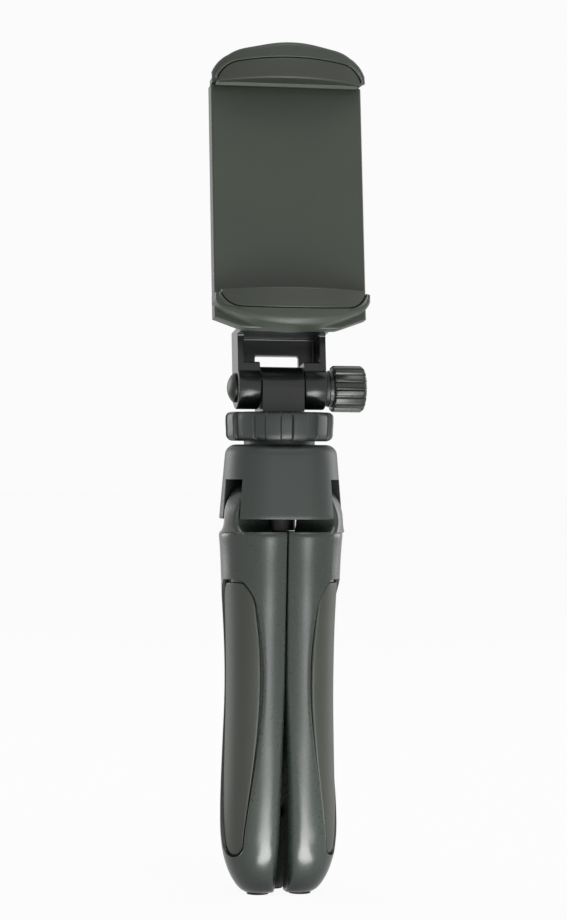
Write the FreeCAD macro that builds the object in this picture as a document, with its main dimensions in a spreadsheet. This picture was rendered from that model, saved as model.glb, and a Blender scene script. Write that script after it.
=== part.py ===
import FreeCAD, Part
import os
import re
import Sketcher
from FreeCAD import Placement, Rotation, Vector

# Mini tripod with a phone clamp: three legs fold together into a handgrip under a hub, a lobed lock
# wheel sits on the hub, and a clamp with a sliding sprung jaw tilts on top. Millimetres, +Z up, the
# front faces -Y, the tilt knob is on +X, and the folded feet stand on Z = 0. The sub-parts are drawn
# round the column's axis and then moved so that the origin is under the middle of the whole object.

# Driving dimensions

DIMENSIONS = {
    # small sizes that several sub-parts share
    "running_gap": 0.06,
    "side_gap": 0.3,
    "end_gap": 0.4,
    "thread_chamfer": 0.5,
    "cut_margin": 2.0,
    "cut_reach": 40.0,
    # legs, in a frame whose origin is the leg's own axis and whose X points away from the column
    "leg_axis": 6.5,
    "leg_split": 0.15,
    "valley_split": 1.9,
    "valley_start": 62.0,
    "toe_height": 0.6,
    "toe_radius": 4.4,
    "heel_height": 3.2,
    "heel_radius": 7.3,
    "ankle_height": 7.0,
    "ankle_radius": 9.4,
    "shin_radius": 10.95,
    "calf_height": 18.0,
    "calf_radius": 11.75,
    "waist_height": 60.0,
    "waist_radius": 11.1,
    "thigh_radius": 11.7,
    "collar_height": 102.0,
    "collar_radius": 12.2,
    "shoulder_height": 106.5,
    "shoulder_radius": 12.9,
    "shoulder_chamfer": 0.9,
    "channel_width": 6.8,
    "channel_depth": 12.0,
    "channel_start": 22.0,
    "bay_height": 17.0,
    "rib_thickness": 2.0,
    "bay_count": 4,
    "neck_width": 6.6,
    "neck_radius": 5.0,
    "neck_root": 7.6,
    "neck_root_height": 3.4,
    # hinge of each leg
    "hinge_offset": 13.4,
    "hinge_rise": 8.5,
    "hinge_pin_radius": 1.3,
    "hinge_pin_length": 12.4,
    # rubber grip on each leg
    "grip_bottom": 12.0,
    "grip_top": 92.2,
    "grip_widest": 62.4,
    "grip_half_width": 8.4,
    "grip_foot_half_width": 2.0,
    "grip_calf": 37.0,
    "grip_calf_half_width": 6.6,
    "grip_flank": 76.0,
    "grip_flank_half_width": 8.1,
    "grip_cheek": 84.0,
    "grip_cheek_half_width": 7.5,
    "grip_brow": 89.6,
    "grip_brow_half_width": 5.9,
    "grip_head_half_width": 3.3,
    "grip_sink": 1.6,
    "grip_set_back": 0.45,
    "grip_groove": 0.45,
    # rubber foot in each toe
    "foot_radius": 3.2,
    "foot_offset": 0.8,
    "foot_depth": 2.2,
    "foot_stem_radius": 1.6,
    "foot_stem_top": 6.0,
    # hub
    "hub_clearance": 3.7,
    "hub_height": 21.8,
    "hub_corner_centre": 5.5,
    "hub_corner_radius": 13.45,
    "hub_taper": 4.8,
    "hub_edge": 1.9,
    "slot_inner": 7.6,
    "slot_clearance": 1.8,
    "well_radius": 5.8,
    "well_depth": 11.4,
    "plug_thickness": 1.6,
    "plug_boss_radius": 4.9,
    "plug_drop": 3.4,
    # mounting screw, washer and lock wheel
    "screw_radius": 3.1,
    "screw_head_radius": 5.2,
    "screw_head_height": 3.2,
    "screw_reach": 3.5,
    "washer_radius": 10.5,
    "washer_thickness": 1.1,
    "wheel_radius": 16.0,
    "wheel_height": 8.5,
    "wheel_chamfer": 1.3,
    "wheel_top_chamfer": 0.9,
    "wheel_draft": 0.2,
    "lobe_count": 12,
    "lobe_gap_width": 3.7,
    "lobe_gap_depth": 1.0,
    "wheel_turn": -2.5,
    "wheel_web": 3.0,
    "wheel_rim": 3.2,
    "wheel_boss_radius": 6.4,
    # block under the clamp
    "block_gap": 0.2,
    "block_width": 12.5,
    "knuckle_radius": 6.3,
    "tilt_rise": 6.9,
    "thread_gap": 0.08,
    # tilt bolt, washer, knob and its nut
    "bolt_radius": 2.0,
    "bolt_head_radius": 4.35,
    "bolt_head_height": 2.5,
    "bolt_dome_radius": 6.0,
    "bolt_length": 35.0,
    "tilt_washer_radius": 5.2,
    "tilt_washer_thickness": 1.0,
    "knob_radius": 6.9,
    "knob_length": 10.8,
    "knob_gap": 0.1,
    "knob_end_edge": 1.0,
    "knob_edge": 0.4,
    "knob_bore_gap": 0.2,
    "knob_neck_radius": 5.6,
    "knob_neck_length": 1.1,
    "flute_count": 18,
    "flute_width": 1.5,
    "flute_floor": 0.7,
    "flute_depth": 0.5,
    "nut_flats": 6.6,
    "nut_length": 4.0,
    # tilt bracket, in the clamp's frame: origin on the tilt axis, Z along the clamp
    "tilt_rest": 8.0,
    "bracket_width": 26.6,
    "bracket_wall": 2.0,
    "bracket_front": 4.5,
    "bracket_back": 5.5,
    "ear_top": 7.2,
    "window_top": 10.3,
    "bracket_top": 17.3,
    "bracket_roof": 2.0,
    "flange_thickness": 2.6,
    "flange_top": 23.4,
    "bracket_screw_spacing": 18.0,
    "bracket_screw_height": 20.4,
    # clamp body
    "plate_width": 44.9,
    "plate_front": 19.0,
    "plate_thickness": 5.0,
    "plate_top": 86.9,
    "plate_bottom": 14.4,
    "plate_corner_rise": 3.1,
    "plate_corner_run": 8.6,
    "tongue_width": 30.0,
    "tongue_thickness": 2.0,
    "tongue_length": 46.0,
    "slide_gap": 0.2,
    "slide_floor": 39.0,
    # jaws: sizes run from the jaw's lip outwards
    "jaw_reach": 11.0,
    "jaw_plan_sag": 7.0,
    "jaw_half_width": 22.8,
    "lower_lip": 24.7,
    "upper_lip": 86.1,
    "shell_depth": 11.0,
    "shell_shoulder": 6.9,
    "shell_shoulder_half_width": 18.2,
    "shell_end": 3.0,
    "shell_edge": 0.8,
    "shell_corner_bulge": 0.5,
    "pad_half_width": 21.1,
    "pad_depth": 6.2,
    "pad_shoulder": 5.5,
    "pad_shoulder_half_width": 14.8,
    "pad_end": 1.2,
    "pad_corner_bulge": 0.85,
    "pad_gap": 0.15,
    "pad_hook": 0.8,
    "pad_lip": 2.2,
    # rear cover, springs and screws
    "cover_thickness": 1.8,
    "cover_half_width": 20.6,
    "cover_bottom": 24.0,
    "cover_top": 80.0,
    "cover_bulge": 4.2,
    "cover_bulge_half_width": 11.0,
    "cover_bulge_top": 73.6,
    "cover_edge": 1.0,
    "cover_screw_inset": 2.6,
    "small_screw_radius": 1.1,
    "small_screw_head_radius": 2.1,
    "small_screw_head_height": 1.2,
    "small_screw_head_edge": 0.5,
    "small_screw_length": 5.2,
    "spring_offset": 6.0,
    "spring_radius": 1.7,
    "spring_bore": 1.1,
    "spring_low": 29.0,
    "anchor_radius": 1.0,
    "hook_height": 44.0,
    "hook_thickness": 2.0,
    "hook_half_width": 8.2,
    "hook_depth": 3.8,
    "spring_depth": 2.4,
}

LEG_ANGLES = (-150, -30, 90)

doc = FreeCAD.newDocument("MiniTripod")
sheet = doc.addObject("Spreadsheet::Sheet", "Dims")
for row, (name, number) in enumerate(DIMENSIONS.items(), start=1):
    sheet.set(f"A{row}", name)
    sheet.set(f"B{row}", str(number))
    sheet.setAlias(f"B{row}", name)
doc.recompute()


# Heights along the column, each carried by the one below it

HINGE = "(shoulder_height + hinge_rise)"
HUB_LOW = "(shoulder_height + hub_clearance)"
HUB_HIGH = f"({HUB_LOW} + hub_height)"
SLOT_HIGH = f"({HINGE} + neck_radius + slot_clearance)"
WELL_HIGH = f"({HUB_LOW} + well_depth)"
WHEEL_LOW = f"({HUB_HIGH} + washer_thickness)"
WHEEL_HIGH = f"({WHEEL_LOW} + wheel_height)"
BLOCK_LOW = f"({WHEEL_HIGH} + block_gap)"
SCREW_HIGH = f"({BLOCK_LOW} + screw_reach)"
TILT_AXIS = f"({BLOCK_LOW} + tilt_rise)"

# Helpers


def value(text):
    """The number that an expression in the sheet's names gives."""
    return float(sheet.evalExpression(str(text)))


def bound(text):
    """The same expression, with each of the sheet's names as that cell."""
    return re.sub(r"[a-z_]+", lambda word: cell(word.group()), str(text))


def cell(word):
    return f"Dims.{word}" if word in DIMENSIONS else word


def bind(item, path, text):
    item.setExpression(path, bound(text))


def new_body(label):
    body = doc.addObject("PartDesign::Body", label)
    body.Label = label
    return body


def origin_item(body, role):
    return next(item for item in body.Origin.OriginFeatures if item.Role == role)


def new_sketch(body, plane, offset="0"):
    """A sketch on one of the body's own planes, moved along the plane's normal by offset."""
    sketch = body.newObject("Sketcher::SketchObject", f"{body.Name}_sketch")
    sketch.AttachmentSupport = [(origin_item(body, plane), "")]
    sketch.MapMode = "FlatFace"
    bind(sketch, "AttachmentOffset.Base.z", offset)
    return sketch


def fix_point(sketch, shape, end, across, up):
    """Hold a point of the sketch at two distances from its origin, both bound to the sheet."""
    for kind, text in (("DistanceX", across), ("DistanceY", up)):
        number = sketch.addConstraint(Sketcher.Constraint(kind, -1, 1, shape, end, value(text)))
        bind(sketch, f"Constraints[{number}]", text)


def draw_outline(sketch, path):
    """Closed outline. A step is (x, y) for a line, or (x, y, over x, over y) for an arc over a point."""
    ends = []
    for start, step in zip(path, path[1:] + path[:1]):
        tail = Vector(value(start[0]), value(start[1]), 0)
        head = Vector(value(step[0]), value(step[1]), 0)
        if (head - tail).Length < 1e-6:
            continue
        if len(step) == 4:
            over = Vector(value(step[2]), value(step[3]), 0)
            shape = sketch.addGeometry(Part.Arc(tail, over, head), False)
            flipped = (sketch.getPoint(shape, 1) - tail).Length > 1e-6
            ends.append((shape, 2, 1) if flipped else (shape, 1, 2))
            mark = sketch.addGeometry(Part.Point(over), True)
            sketch.addConstraint(Sketcher.Constraint("PointOnObject", mark, 1, shape))
            fix_point(sketch, mark, 1, step[2], step[3])
        else:
            shape = sketch.addGeometry(Part.LineSegment(tail, head), False)
            ends.append((shape, 1, 2))
        fix_point(sketch, shape, ends[-1][1], start[0], start[1])
    for (shape, _, last), (other, first, _) in zip(ends, ends[1:] + ends[:1]):
        sketch.addConstraint(Sketcher.Constraint("Coincident", shape, last, other, first))


def draw_circle(sketch, across, up, radius):
    centre = Vector(value(across), value(up), 0)
    shape = sketch.addGeometry(Part.Circle(centre, Vector(0, 0, 1), value(radius)), False)
    fix_point(sketch, shape, 3, across, up)
    number = sketch.addConstraint(Sketcher.Constraint("Radius", shape, value(radius)))
    bind(sketch, f"Constraints[{number}]", radius)


def box_path(left, low, right, high):
    return [(left, low), (right, low), (right, high), (left, high)]


def outline_sketch(body, plane, path, offset="0"):
    sketch = new_sketch(body, plane, offset)
    draw_outline(sketch, path)
    return sketch


def circle_sketch(body, plane, across, up, radius, offset="0"):
    sketch = new_sketch(body, plane, offset)
    draw_circle(sketch, across, up, radius)
    return sketch


def extrude(body, kind, sketch, length, both=False, backwards=False):
    feature = body.newObject(f"PartDesign::{kind}", f"{body.Name}_{kind}")
    feature.Profile = sketch
    bind(feature, "Length", length)
    feature.Midplane = both
    feature.Reversed = backwards
    doc.recompute()
    return feature


def pad(body, sketch, length, both=False, backwards=False):
    return extrude(body, "Pad", sketch, length, both, backwards)


def pocket(body, sketch, length, both=False, backwards=False):
    """Cut, and stop if nothing was cut."""
    before = body.Shape.Volume
    feature = extrude(body, "Pocket", sketch, length, both, backwards)
    if body.Shape.Volume > before - 1e-6:
        raise RuntimeError(f"{feature.Name} cuts nothing")
    return feature


def turn(body, path):
    """Revolve an outline of (radius, height) steps about the body's Z axis."""
    sketch = outline_sketch(body, "XZ_Plane", path)
    feature = body.newObject("PartDesign::Revolution", f"{body.Name}_Turned")
    feature.Profile = sketch
    feature.ReferenceAxis = (sketch, ["V_Axis"])
    feature.Angle = 360
    doc.recompute()
    return feature


def polar(body, feature, count):
    pattern = body.newObject("PartDesign::PolarPattern", f"{body.Name}_Round")
    pattern.Originals = [feature]
    pattern.Axis = (origin_item(body, "Z_Axis"), [""])
    pattern.Angle = 360
    bind(pattern, "Occurrences", count)
    body.Tip = pattern
    doc.recompute()
    return pattern


def stack(body, feature, length, count):
    pattern = body.newObject("PartDesign::LinearPattern", f"{body.Name}_Row")
    pattern.Originals = [feature]
    pattern.Direction = (origin_item(body, "Z_Axis"), [""])
    bind(pattern, "Length", length)
    bind(pattern, "Occurrences", count)
    body.Tip = pattern
    doc.recompute()
    return pattern


def bevel_edges(body, size, chosen):
    """Chamfer the edges of the body that the test picks."""
    base = body.Tip
    names = [f"Edge{i + 1}" for i, edge in enumerate(base.Shape.Edges) if chosen(edge)]
    feature = body.newObject("PartDesign::Chamfer", f"{body.Name}_Bevelled")
    feature.Base = (base, names)
    bind(feature, "Size", size)
    doc.recompute()
    return feature


def lathe(label, path):
    body = new_body(label)
    turn(body, path)
    return body


def boolean(kind, label, base, tool):
    item = doc.addObject(f"Part::{kind}", label)
    item.Label = label
    item.Base = base
    item.Tool = tool
    doc.recompute()
    return item


def group(label, pieces):
    item = doc.addObject("Part::Compound", label)
    item.Label = label
    item.Links = pieces
    doc.recompute()
    return item


nodes = []


def keep(item, place=Placement()):
    """Give the sub-part its place round the column, then move it with the column, and list it."""
    item.Placement = column_place().multiply(place)
    nodes.append(item)
    return item


def column_place():
    """The column stands off the origin, as the knob and the jaws reach further out than their backs."""
    knob_reach = f"{KNOB_HIGH} - jaw_half_width"
    front = "(plate_front + jaw_reach) * cos(tilt_rest) - (lower_lip - shell_depth) * sin(tilt_rest)"
    jaw_over = f"{front} - leg_axis - shoulder_radius"
    return Placement(Vector(-value(knob_reach) / 2, value(jaw_over) / 2, 0), Rotation())


def clamp_place():
    """From the clamp's frame to the part's: up to the tilt axis, leaning back by the rest tilt."""
    return Placement(Vector(0, 0, value(TILT_AXIS)), Rotation(Vector(1, 0, 0), -value("tilt_rest")))


def leg_place(angle):
    """From a leg's frame to the part's."""
    spin = Rotation(Vector(0, 0, 1), angle)
    return Placement(spin.multVec(Vector(value("leg_axis"), 0, 0)), spin)


# Legs, their grips and feet


def leg_side(shift, backwards=False):
    """The turned leg's side from grip bottom to grip top, moved outwards by shift."""
    side = [
        (f"shin_radius + {shift}", "grip_bottom"),
        (f"calf_radius + {shift}", "calf_height"),
        (f"waist_radius + {shift}", "waist_height"),
        (f"thigh_radius + {shift}", "grip_top"),
    ]
    return side[::-1] if backwards else side


def turned_leg(body):
    """The leg before it is split off: a toe, a swelling calf, a waist, a collar and a shoulder."""
    turn(body, [
        ("0", "toe_height"),
        ("toe_radius", "toe_height"),
        ("heel_radius", "heel_height"),
        ("ankle_radius", "ankle_height"),
        ("shin_radius", "grip_bottom"),
        ("calf_radius", "calf_height"),
        ("waist_radius", "waist_height"),
        ("thigh_radius", "grip_top"),
        ("collar_radius", "collar_height"),
        ("shoulder_radius", "shoulder_height - shoulder_chamfer"),
        ("shoulder_radius - shoulder_chamfer", "shoulder_height"),
        ("0", "shoulder_height"),
    ])


def outside_sector(gap):
    """All that lies outside a leg's third of the column, with the gap to each neighbour."""
    tip = f"{gap} / sin(60) - leg_axis"
    return [
        (tip, "0"),
        (f"{tip} + cut_reach * cos(60)", "cut_reach * sin(60)"),
        ("-cut_reach", "cut_reach * sin(60)"),
        ("-cut_reach", "-cut_reach * sin(60)"),
        (f"{tip} + cut_reach * cos(60)", "-cut_reach * sin(60)"),
    ]


def split_off(body):
    """Cut the two side faces, which draw apart below into the valley between the legs."""
    floor = outline_sketch(body, "XY_Plane", outside_sector("valley_split"), "-cut_margin")
    bend = outline_sketch(body, "XY_Plane", outside_sector("leg_split"), "valley_start")
    roof = outline_sketch(body, "XY_Plane", outside_sector("leg_split"), "shoulder_height + cut_margin")
    cut = body.newObject("PartDesign::SubtractiveLoft", f"{body.Name}_Split")
    cut.Profile = floor
    cut.Sections = [bend, roof]
    cut.Ruled = True
    doc.recompute()


def grip_outline(margin):
    """The grip seen along the leg's X: widest above the middle, drawn in slowly to the toe."""
    foot = f"grip_foot_half_width + {margin}"
    calf = f"grip_calf_half_width + {margin}"
    wide = f"grip_half_width + {margin}"
    flank = f"grip_flank_half_width + {margin}"
    cheek = f"grip_cheek_half_width + {margin}"
    brow = f"grip_brow_half_width + {margin}"
    head = f"grip_head_half_width + {margin}"
    low = f"grip_bottom - {margin}"
    high = f"grip_top + {margin}"
    return [
        (f"-({foot})", low),
        (foot, low),
        (wide, "grip_widest", calf, "grip_calf"),
        (cheek, "grip_cheek", flank, "grip_flank"),
        (head, high, brow, "grip_brow"),
        (f"-({head})", high),
        (f"-({cheek})", "grip_cheek", f"-({brow})", "grip_brow"),
        (f"-({wide})", "grip_widest", f"-({flank})", "grip_flank"),
        (f"-({foot})", low, f"-({calf})", "grip_calf"),
    ]


def grip_blank(label, margin, inner, outer):
    """A curved slab that follows the leg's side between two offsets, cut to the grip's outline."""
    slab = new_body(f"{label}_slab")
    side_in = leg_side(inner, backwards=True)
    side_out = leg_side(outer)
    turn(slab, side_out + side_in)
    window = new_body(f"{label}_window")
    pad(window, outline_sketch(window, "YZ_Plane", grip_outline(margin)), "cut_reach")
    return boolean("Common", label, slab, window)


def leg(index, angle):
    body = new_body(f"leg_{index}_blank")
    turned_leg(body)
    split_off(body)
    channel = outline_sketch(body, "XZ_Plane", box_path(
        "-2 * leg_axis", "channel_start", "channel_depth - leg_axis", "channel_start + bay_height"))
    bay = pocket(body, channel, "channel_width", both=True)
    stack(body, bay, "(bay_count - 1) * (bay_height + rib_thickness)", "bay_count")
    pivot = "hinge_offset - leg_axis"
    neck = outline_sketch(body, "XZ_Plane", [
        (f"{pivot} - neck_root", "shoulder_height - neck_radius"),
        (f"{pivot} + neck_radius", "shoulder_height - neck_radius"),
        (f"{pivot} + neck_radius", HINGE),
        (f"{pivot} - neck_radius", HINGE, pivot, f"{HINGE} + neck_radius"),
        (f"{pivot} - neck_radius", "shoulder_height + neck_root_height"),
        (f"{pivot} - neck_root", "shoulder_height + neck_root_height"),
    ])
    pad(body, neck, "neck_width", both=True)
    bore = circle_sketch(body, "XZ_Plane", pivot, HINGE, "hinge_pin_radius + running_gap")
    pocket(body, bore, "3 * neck_width", both=True)
    seat = circle_sketch(body, "XY_Plane", "foot_offset", "0", "foot_radius")
    pocket(body, seat, "foot_depth", backwards=True)
    stem = circle_sketch(body, "XY_Plane", "foot_offset", "0", "foot_stem_radius")
    pocket(body, stem, "foot_stem_top", backwards=True)
    recess = grip_blank(f"leg_{index}_recess", "grip_groove", "-grip_sink", "cut_margin")
    keep(boolean("Cut", f"leg_{index}", body, recess), leg_place(angle))


def grip(index, angle):
    keep(grip_blank(f"grip_{index}", "0", "-grip_sink", "-grip_set_back"), leg_place(angle))


def foot(index, angle):
    body = lathe(f"foot_{index}", [
        ("0", "0"),
        ("foot_radius", "0"),
        ("foot_radius", "foot_depth"),
        ("foot_stem_radius", "foot_depth"),
        ("foot_stem_radius", "foot_stem_top"),
        ("0", "foot_stem_top"),
    ])
    shift = Placement(Vector(value("foot_offset"), 0, 0), Rotation())
    keep(body, leg_place(angle).multiply(shift))


def hinge_pin(index, angle):
    body = new_body(f"hinge_pin_{index}")
    pad(body, circle_sketch(body, "XZ_Plane", "0", HINGE, "hinge_pin_radius"),
        "hinge_pin_length", both=True)
    spin = Rotation(Vector(0, 0, 1), angle)
    keep(body, Placement(spin.multVec(Vector(value("hinge_offset"), 0, 0)), spin))


# Hub, mounting screw and lock wheel


def rounded_triangle():
    """Three short flats that face the seams, joined by round corners over the legs."""
    path = []
    for angle in LEG_ANGLES:
        centre = [f"hub_corner_centre * cos({angle})", f"hub_corner_centre * sin({angle})"]
        rim = [[f"{centre[0]} + hub_corner_radius * cos({a})", f"{centre[1]} + hub_corner_radius * sin({a})"]
               for a in (angle - 60, angle, angle + 60)]
        path.append((rim[0][0], rim[0][1]))
        path.append((rim[2][0], rim[2][1], rim[1][0], rim[1][1]))
    return path


def hub():
    body = new_body("hub_housing")
    base = outline_sketch(body, "XY_Plane", rounded_triangle(), HUB_LOW)
    block = pad(body, base, "hub_height")
    bind(block, "TaperAngle", "-hub_taper")
    doc.recompute()
    top = value(HUB_HIGH)
    bevel_edges(body, "hub_edge", lambda edge: edge.BoundBox.ZMin > top - 0.001)
    slot = outline_sketch(body, "XY_Plane", box_path(
        "-neck_width / 2 - side_gap", "slot_inner", "neck_width / 2 + side_gap", "cut_reach"), HUB_LOW)
    cut = pocket(body, slot, f"{SLOT_HIGH} - {HUB_LOW}", backwards=True)
    polar(body, cut, "3")
    hole = circle_sketch(body, "YZ_Plane", "hinge_offset", HINGE, "hinge_pin_radius")
    drilled = pocket(body, hole, "hinge_pin_length", both=True)
    polar(body, drilled, "3")
    well = circle_sketch(body, "XY_Plane", "0", "0", "well_radius", HUB_LOW)
    pocket(body, well, "well_depth", backwards=True)
    bore = circle_sketch(body, "XY_Plane", "0", "0", "screw_radius + running_gap", HUB_LOW)
    pocket(body, bore, "2 * hub_height", backwards=True)
    keep(body)


def hub_plug():
    """Cap in the mouth of the screw's well, with a boss down between the legs' necks."""
    keep(lathe("hub_plug", [
        ("0", f"{HUB_LOW} - plug_drop"),
        ("plug_boss_radius", f"{HUB_LOW} - plug_drop"),
        ("plug_boss_radius", HUB_LOW),
        ("well_radius", HUB_LOW),
        ("well_radius", f"{HUB_LOW} + plug_thickness"),
        ("0", f"{HUB_LOW} + plug_thickness"),
    ]))


def mounting_screw():
    head_low = f"{WELL_HIGH} - screw_head_height"
    keep(lathe("mounting_screw", [
        ("0", head_low),
        ("screw_head_radius", head_low),
        ("screw_head_radius", WELL_HIGH),
        ("screw_radius", WELL_HIGH),
        ("screw_radius", f"{SCREW_HIGH} - thread_chamfer"),
        ("screw_radius - thread_chamfer", SCREW_HIGH),
        ("0", SCREW_HIGH),
    ]))


def thrust_washer():
    keep(lathe("thrust_washer", box_path(
        "screw_radius + running_gap", HUB_HIGH, "washer_radius", WHEEL_LOW)))


def lock_wheel():
    """A chamfered wheel, hollow below between boss and rim, with shallow gaps between its lobes."""
    body = lathe("lock_wheel", [
        ("screw_radius", WHEEL_LOW),
        ("wheel_boss_radius", WHEEL_LOW),
        ("wheel_boss_radius", f"{WHEEL_HIGH} - wheel_web"),
        ("wheel_radius - wheel_rim", f"{WHEEL_HIGH} - wheel_web"),
        ("wheel_radius - wheel_rim", WHEEL_LOW),
        ("wheel_radius - wheel_chamfer", WHEEL_LOW),
        ("wheel_radius - wheel_draft", f"{WHEEL_LOW} + wheel_chamfer"),
        ("wheel_radius", f"{WHEEL_HIGH} - wheel_chamfer"),
        ("wheel_radius - wheel_top_chamfer", WHEEL_HIGH),
        ("screw_radius", WHEEL_HIGH),
    ])
    gap = outline_sketch(body, "XY_Plane", box_path(
        "wheel_radius - lobe_gap_depth", "-lobe_gap_width / 2", "2 * wheel_radius", "lobe_gap_width / 2"),
        WHEEL_LOW)
    cut = pocket(body, gap, "wheel_height", backwards=True)
    polar(body, cut, "lobe_count")
    keep(body, Placement(Vector(), Rotation(Vector(0, 0, 1), value("wheel_turn"))))


# Block and tilt bracket

PLATE_BACK = "(plate_thickness - plate_front)"

def pan_block():
    """A block with a half-round top about the tilt axis, bored for the bolt and for the screw."""
    body = new_body("pan_block")
    side = outline_sketch(body, "YZ_Plane", [
        ("-knuckle_radius", BLOCK_LOW),
        ("knuckle_radius", BLOCK_LOW),
        ("knuckle_radius", TILT_AXIS),
        ("-knuckle_radius", TILT_AXIS, "0", f"{TILT_AXIS} + knuckle_radius"),
    ])
    pad(body, side, "block_width", both=True)
    bolt_bore = circle_sketch(body, "YZ_Plane", "0", TILT_AXIS, "bolt_radius + running_gap")
    pocket(body, bolt_bore, "2 * block_width", both=True)
    thread = circle_sketch(body, "XY_Plane", "0", "0", "screw_radius + thread_gap", BLOCK_LOW)
    pocket(body, thread, "screw_reach + end_gap", backwards=True)
    keep(body)


def tilt_bracket():
    """Two ears about the block, side walls, a back wall over a window, a roof and a flange."""
    body = new_body("tilt_bracket")
    side = outline_sketch(body, "YZ_Plane", [
        ("-bracket_front", "sqrt(knuckle_radius ^ 2 - bracket_front ^ 2)"),
        ("bracket_back", "sqrt(knuckle_radius ^ 2 - bracket_back ^ 2)", "0", "-knuckle_radius"),
        ("bracket_back", "bracket_top"),
        ("-bracket_front", "bracket_top"),
    ])
    pad(body, side, "bracket_width", both=True)
    clevis = outline_sketch(body, "XZ_Plane", box_path(
        "-block_width / 2 - side_gap", "-2 * knuckle_radius", "block_width / 2 + side_gap", "window_top"))
    pocket(body, clevis, "4 * knuckle_radius", both=True)
    hollow = outline_sketch(body, "XZ_Plane", box_path(
        "-bracket_width / 2 + bracket_wall", "ear_top",
        "bracket_width / 2 - bracket_wall", "bracket_top - bracket_roof"), "bracket_wall - bracket_back")
    pocket(body, hollow, "3 * bracket_back", backwards=True)
    shelf = outline_sketch(body, "YZ_Plane", [
        ("-bracket_front", "bracket_top - bracket_roof"),
        ("-bracket_front", "bracket_top"),
        (f"{PLATE_BACK} + flange_thickness", "bracket_top"),
        (f"{PLATE_BACK} + flange_thickness", "flange_top"),
        (PLATE_BACK, "flange_top"),
        (PLATE_BACK, "bracket_top - bracket_roof"),
    ])
    pad(body, shelf, "bracket_width", both=True)
    bolt_bore = circle_sketch(body, "YZ_Plane", "0", "0", "bolt_radius")
    pocket(body, bolt_bore, "2 * bracket_width", both=True)
    screw_holes(body, BRACKET_SCREWS, "small_screw_radius", FLANGE_BACK, "2 * flange_thickness")
    keep(body, clamp_place())


# Clamp: body with the lower jaw, sliding upper jaw, their rubber pads, rear cover and springs


def jaw_height(depth, upper):
    """Height of a point that lies so far outwards from the jaw's lip."""
    return f"upper_lip + ({depth})" if upper else f"lower_lip - ({depth})"


def jaw_outline(upper, inner, half, end, shoulder_half, shoulder, depth, bulge):
    """A jaw seen from the front: straight at the lip, a low arch outwards, two round corners."""
    corner = f"({half} + {shoulder_half}) / 2 + {bulge}"
    corner_height = jaw_height(f"({end} + {shoulder}) / 2 + {bulge}", upper)
    return [
        (f"-({half})", jaw_height(inner, upper)),
        (half, jaw_height(inner, upper)),
        (half, jaw_height(end, upper)),
        (shoulder_half, jaw_height(shoulder, upper), corner, corner_height),
        (f"-({shoulder_half})", jaw_height(shoulder, upper), "0", jaw_height(depth, upper)),
        (f"-({half})", jaw_height(end, upper), f"-({corner})", corner_height),
    ]


def shell_outline(upper):
    return jaw_outline(upper, "shell_edge", "jaw_half_width", "shell_end", "shell_shoulder_half_width",
                       "shell_shoulder", "shell_depth", "shell_corner_bulge")


def pad_outline(upper, inner, margin):
    return jaw_outline(upper, inner, f"pad_half_width + {margin}", f"pad_end + {margin}",
                       f"pad_shoulder_half_width + {margin}", f"pad_shoulder + {margin}",
                       f"pad_depth + {margin}", "pad_corner_bulge")


def bow_front(body):
    """Bow the jaw's front in plan, so that its ends draw back from its middle."""
    front = "plate_front + jaw_reach"
    side = "jaw_half_width + cut_margin"
    cut = outline_sketch(body, "XY_Plane", [
        (f"-({side})", f"jaw_plan_sag - ({front})"),
        (side, f"jaw_plan_sag - ({front})", "0", f"-({front})"),
        (side, f"-({front}) - cut_margin"),
        (f"-({side})", f"-({front}) - cut_margin"),
    ])
    pocket(body, cut, "4 * plate_top", both=True)


def pad_seat(body, upper):
    seat = outline_sketch(body, "XZ_Plane", pad_outline(upper, "-cut_margin", "pad_gap"), "plate_front + jaw_reach")
    pocket(body, seat, "jaw_reach - slide_gap")


def screw_holes(body, places, radius, front, depth):
    """Round holes that run forwards from a plane of the clamp."""
    for across, up in places:
        hole = circle_sketch(body, "XZ_Plane", across, up, radius, f"-({front})")
        pocket(body, hole, depth, backwards=True)


COVER_SCREWS = [(f"{side} * (cover_half_width - cover_screw_inset)", up) for side in ("-1", "1")
                for up in ("cover_bottom + cover_screw_inset", "cover_top - cover_screw_inset")]
BRACKET_SCREWS = [(f"{side} * bracket_screw_spacing / 2", "bracket_screw_height") for side in ("-1", "1")]
COVER_BACK = f"({PLATE_BACK} + cover_thickness)"
FLANGE_BACK = f"({PLATE_BACK} + flange_thickness)"


def clamp_body():
    """One moulding: the plate behind the phone, a channel for the slide, and the lower jaw's shell."""
    body = new_body("clamp_body")
    half = "plate_width / 2"
    plate = outline_sketch(body, "XZ_Plane", [
        (f"-{half} + plate_corner_run", "plate_bottom"),
        (f"{half} - plate_corner_run", "plate_bottom"),
        (half, "plate_bottom + plate_corner_rise"),
        (half, "plate_top"),
        (f"-{half}", "plate_top"),
        (f"-{half}", "plate_bottom + plate_corner_rise"),
    ], "plate_front")
    pad(body, plate, "plate_thickness", backwards=True)
    shell = outline_sketch(body, "XZ_Plane", shell_outline(False), "plate_front + jaw_reach")
    pad(body, shell, "jaw_reach + plate_thickness / 2", backwards=True)
    pad_seat(body, False)
    bow_front(body)
    channel = outline_sketch(body, "XZ_Plane", box_path(
        "-tongue_width / 2 - slide_gap", "slide_floor", "tongue_width / 2 + slide_gap", "2 * plate_top"),
        f"-{PLATE_BACK}")
    pocket(body, channel, "tongue_thickness + 2 * slide_gap", backwards=True)
    screw_holes(body, COVER_SCREWS, "small_screw_radius", PLATE_BACK,
                "small_screw_length - cover_thickness")
    screw_holes(body, BRACKET_SCREWS, "small_screw_radius", PLATE_BACK,
                "small_screw_length - flange_thickness")
    keep(body, clamp_place())


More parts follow.
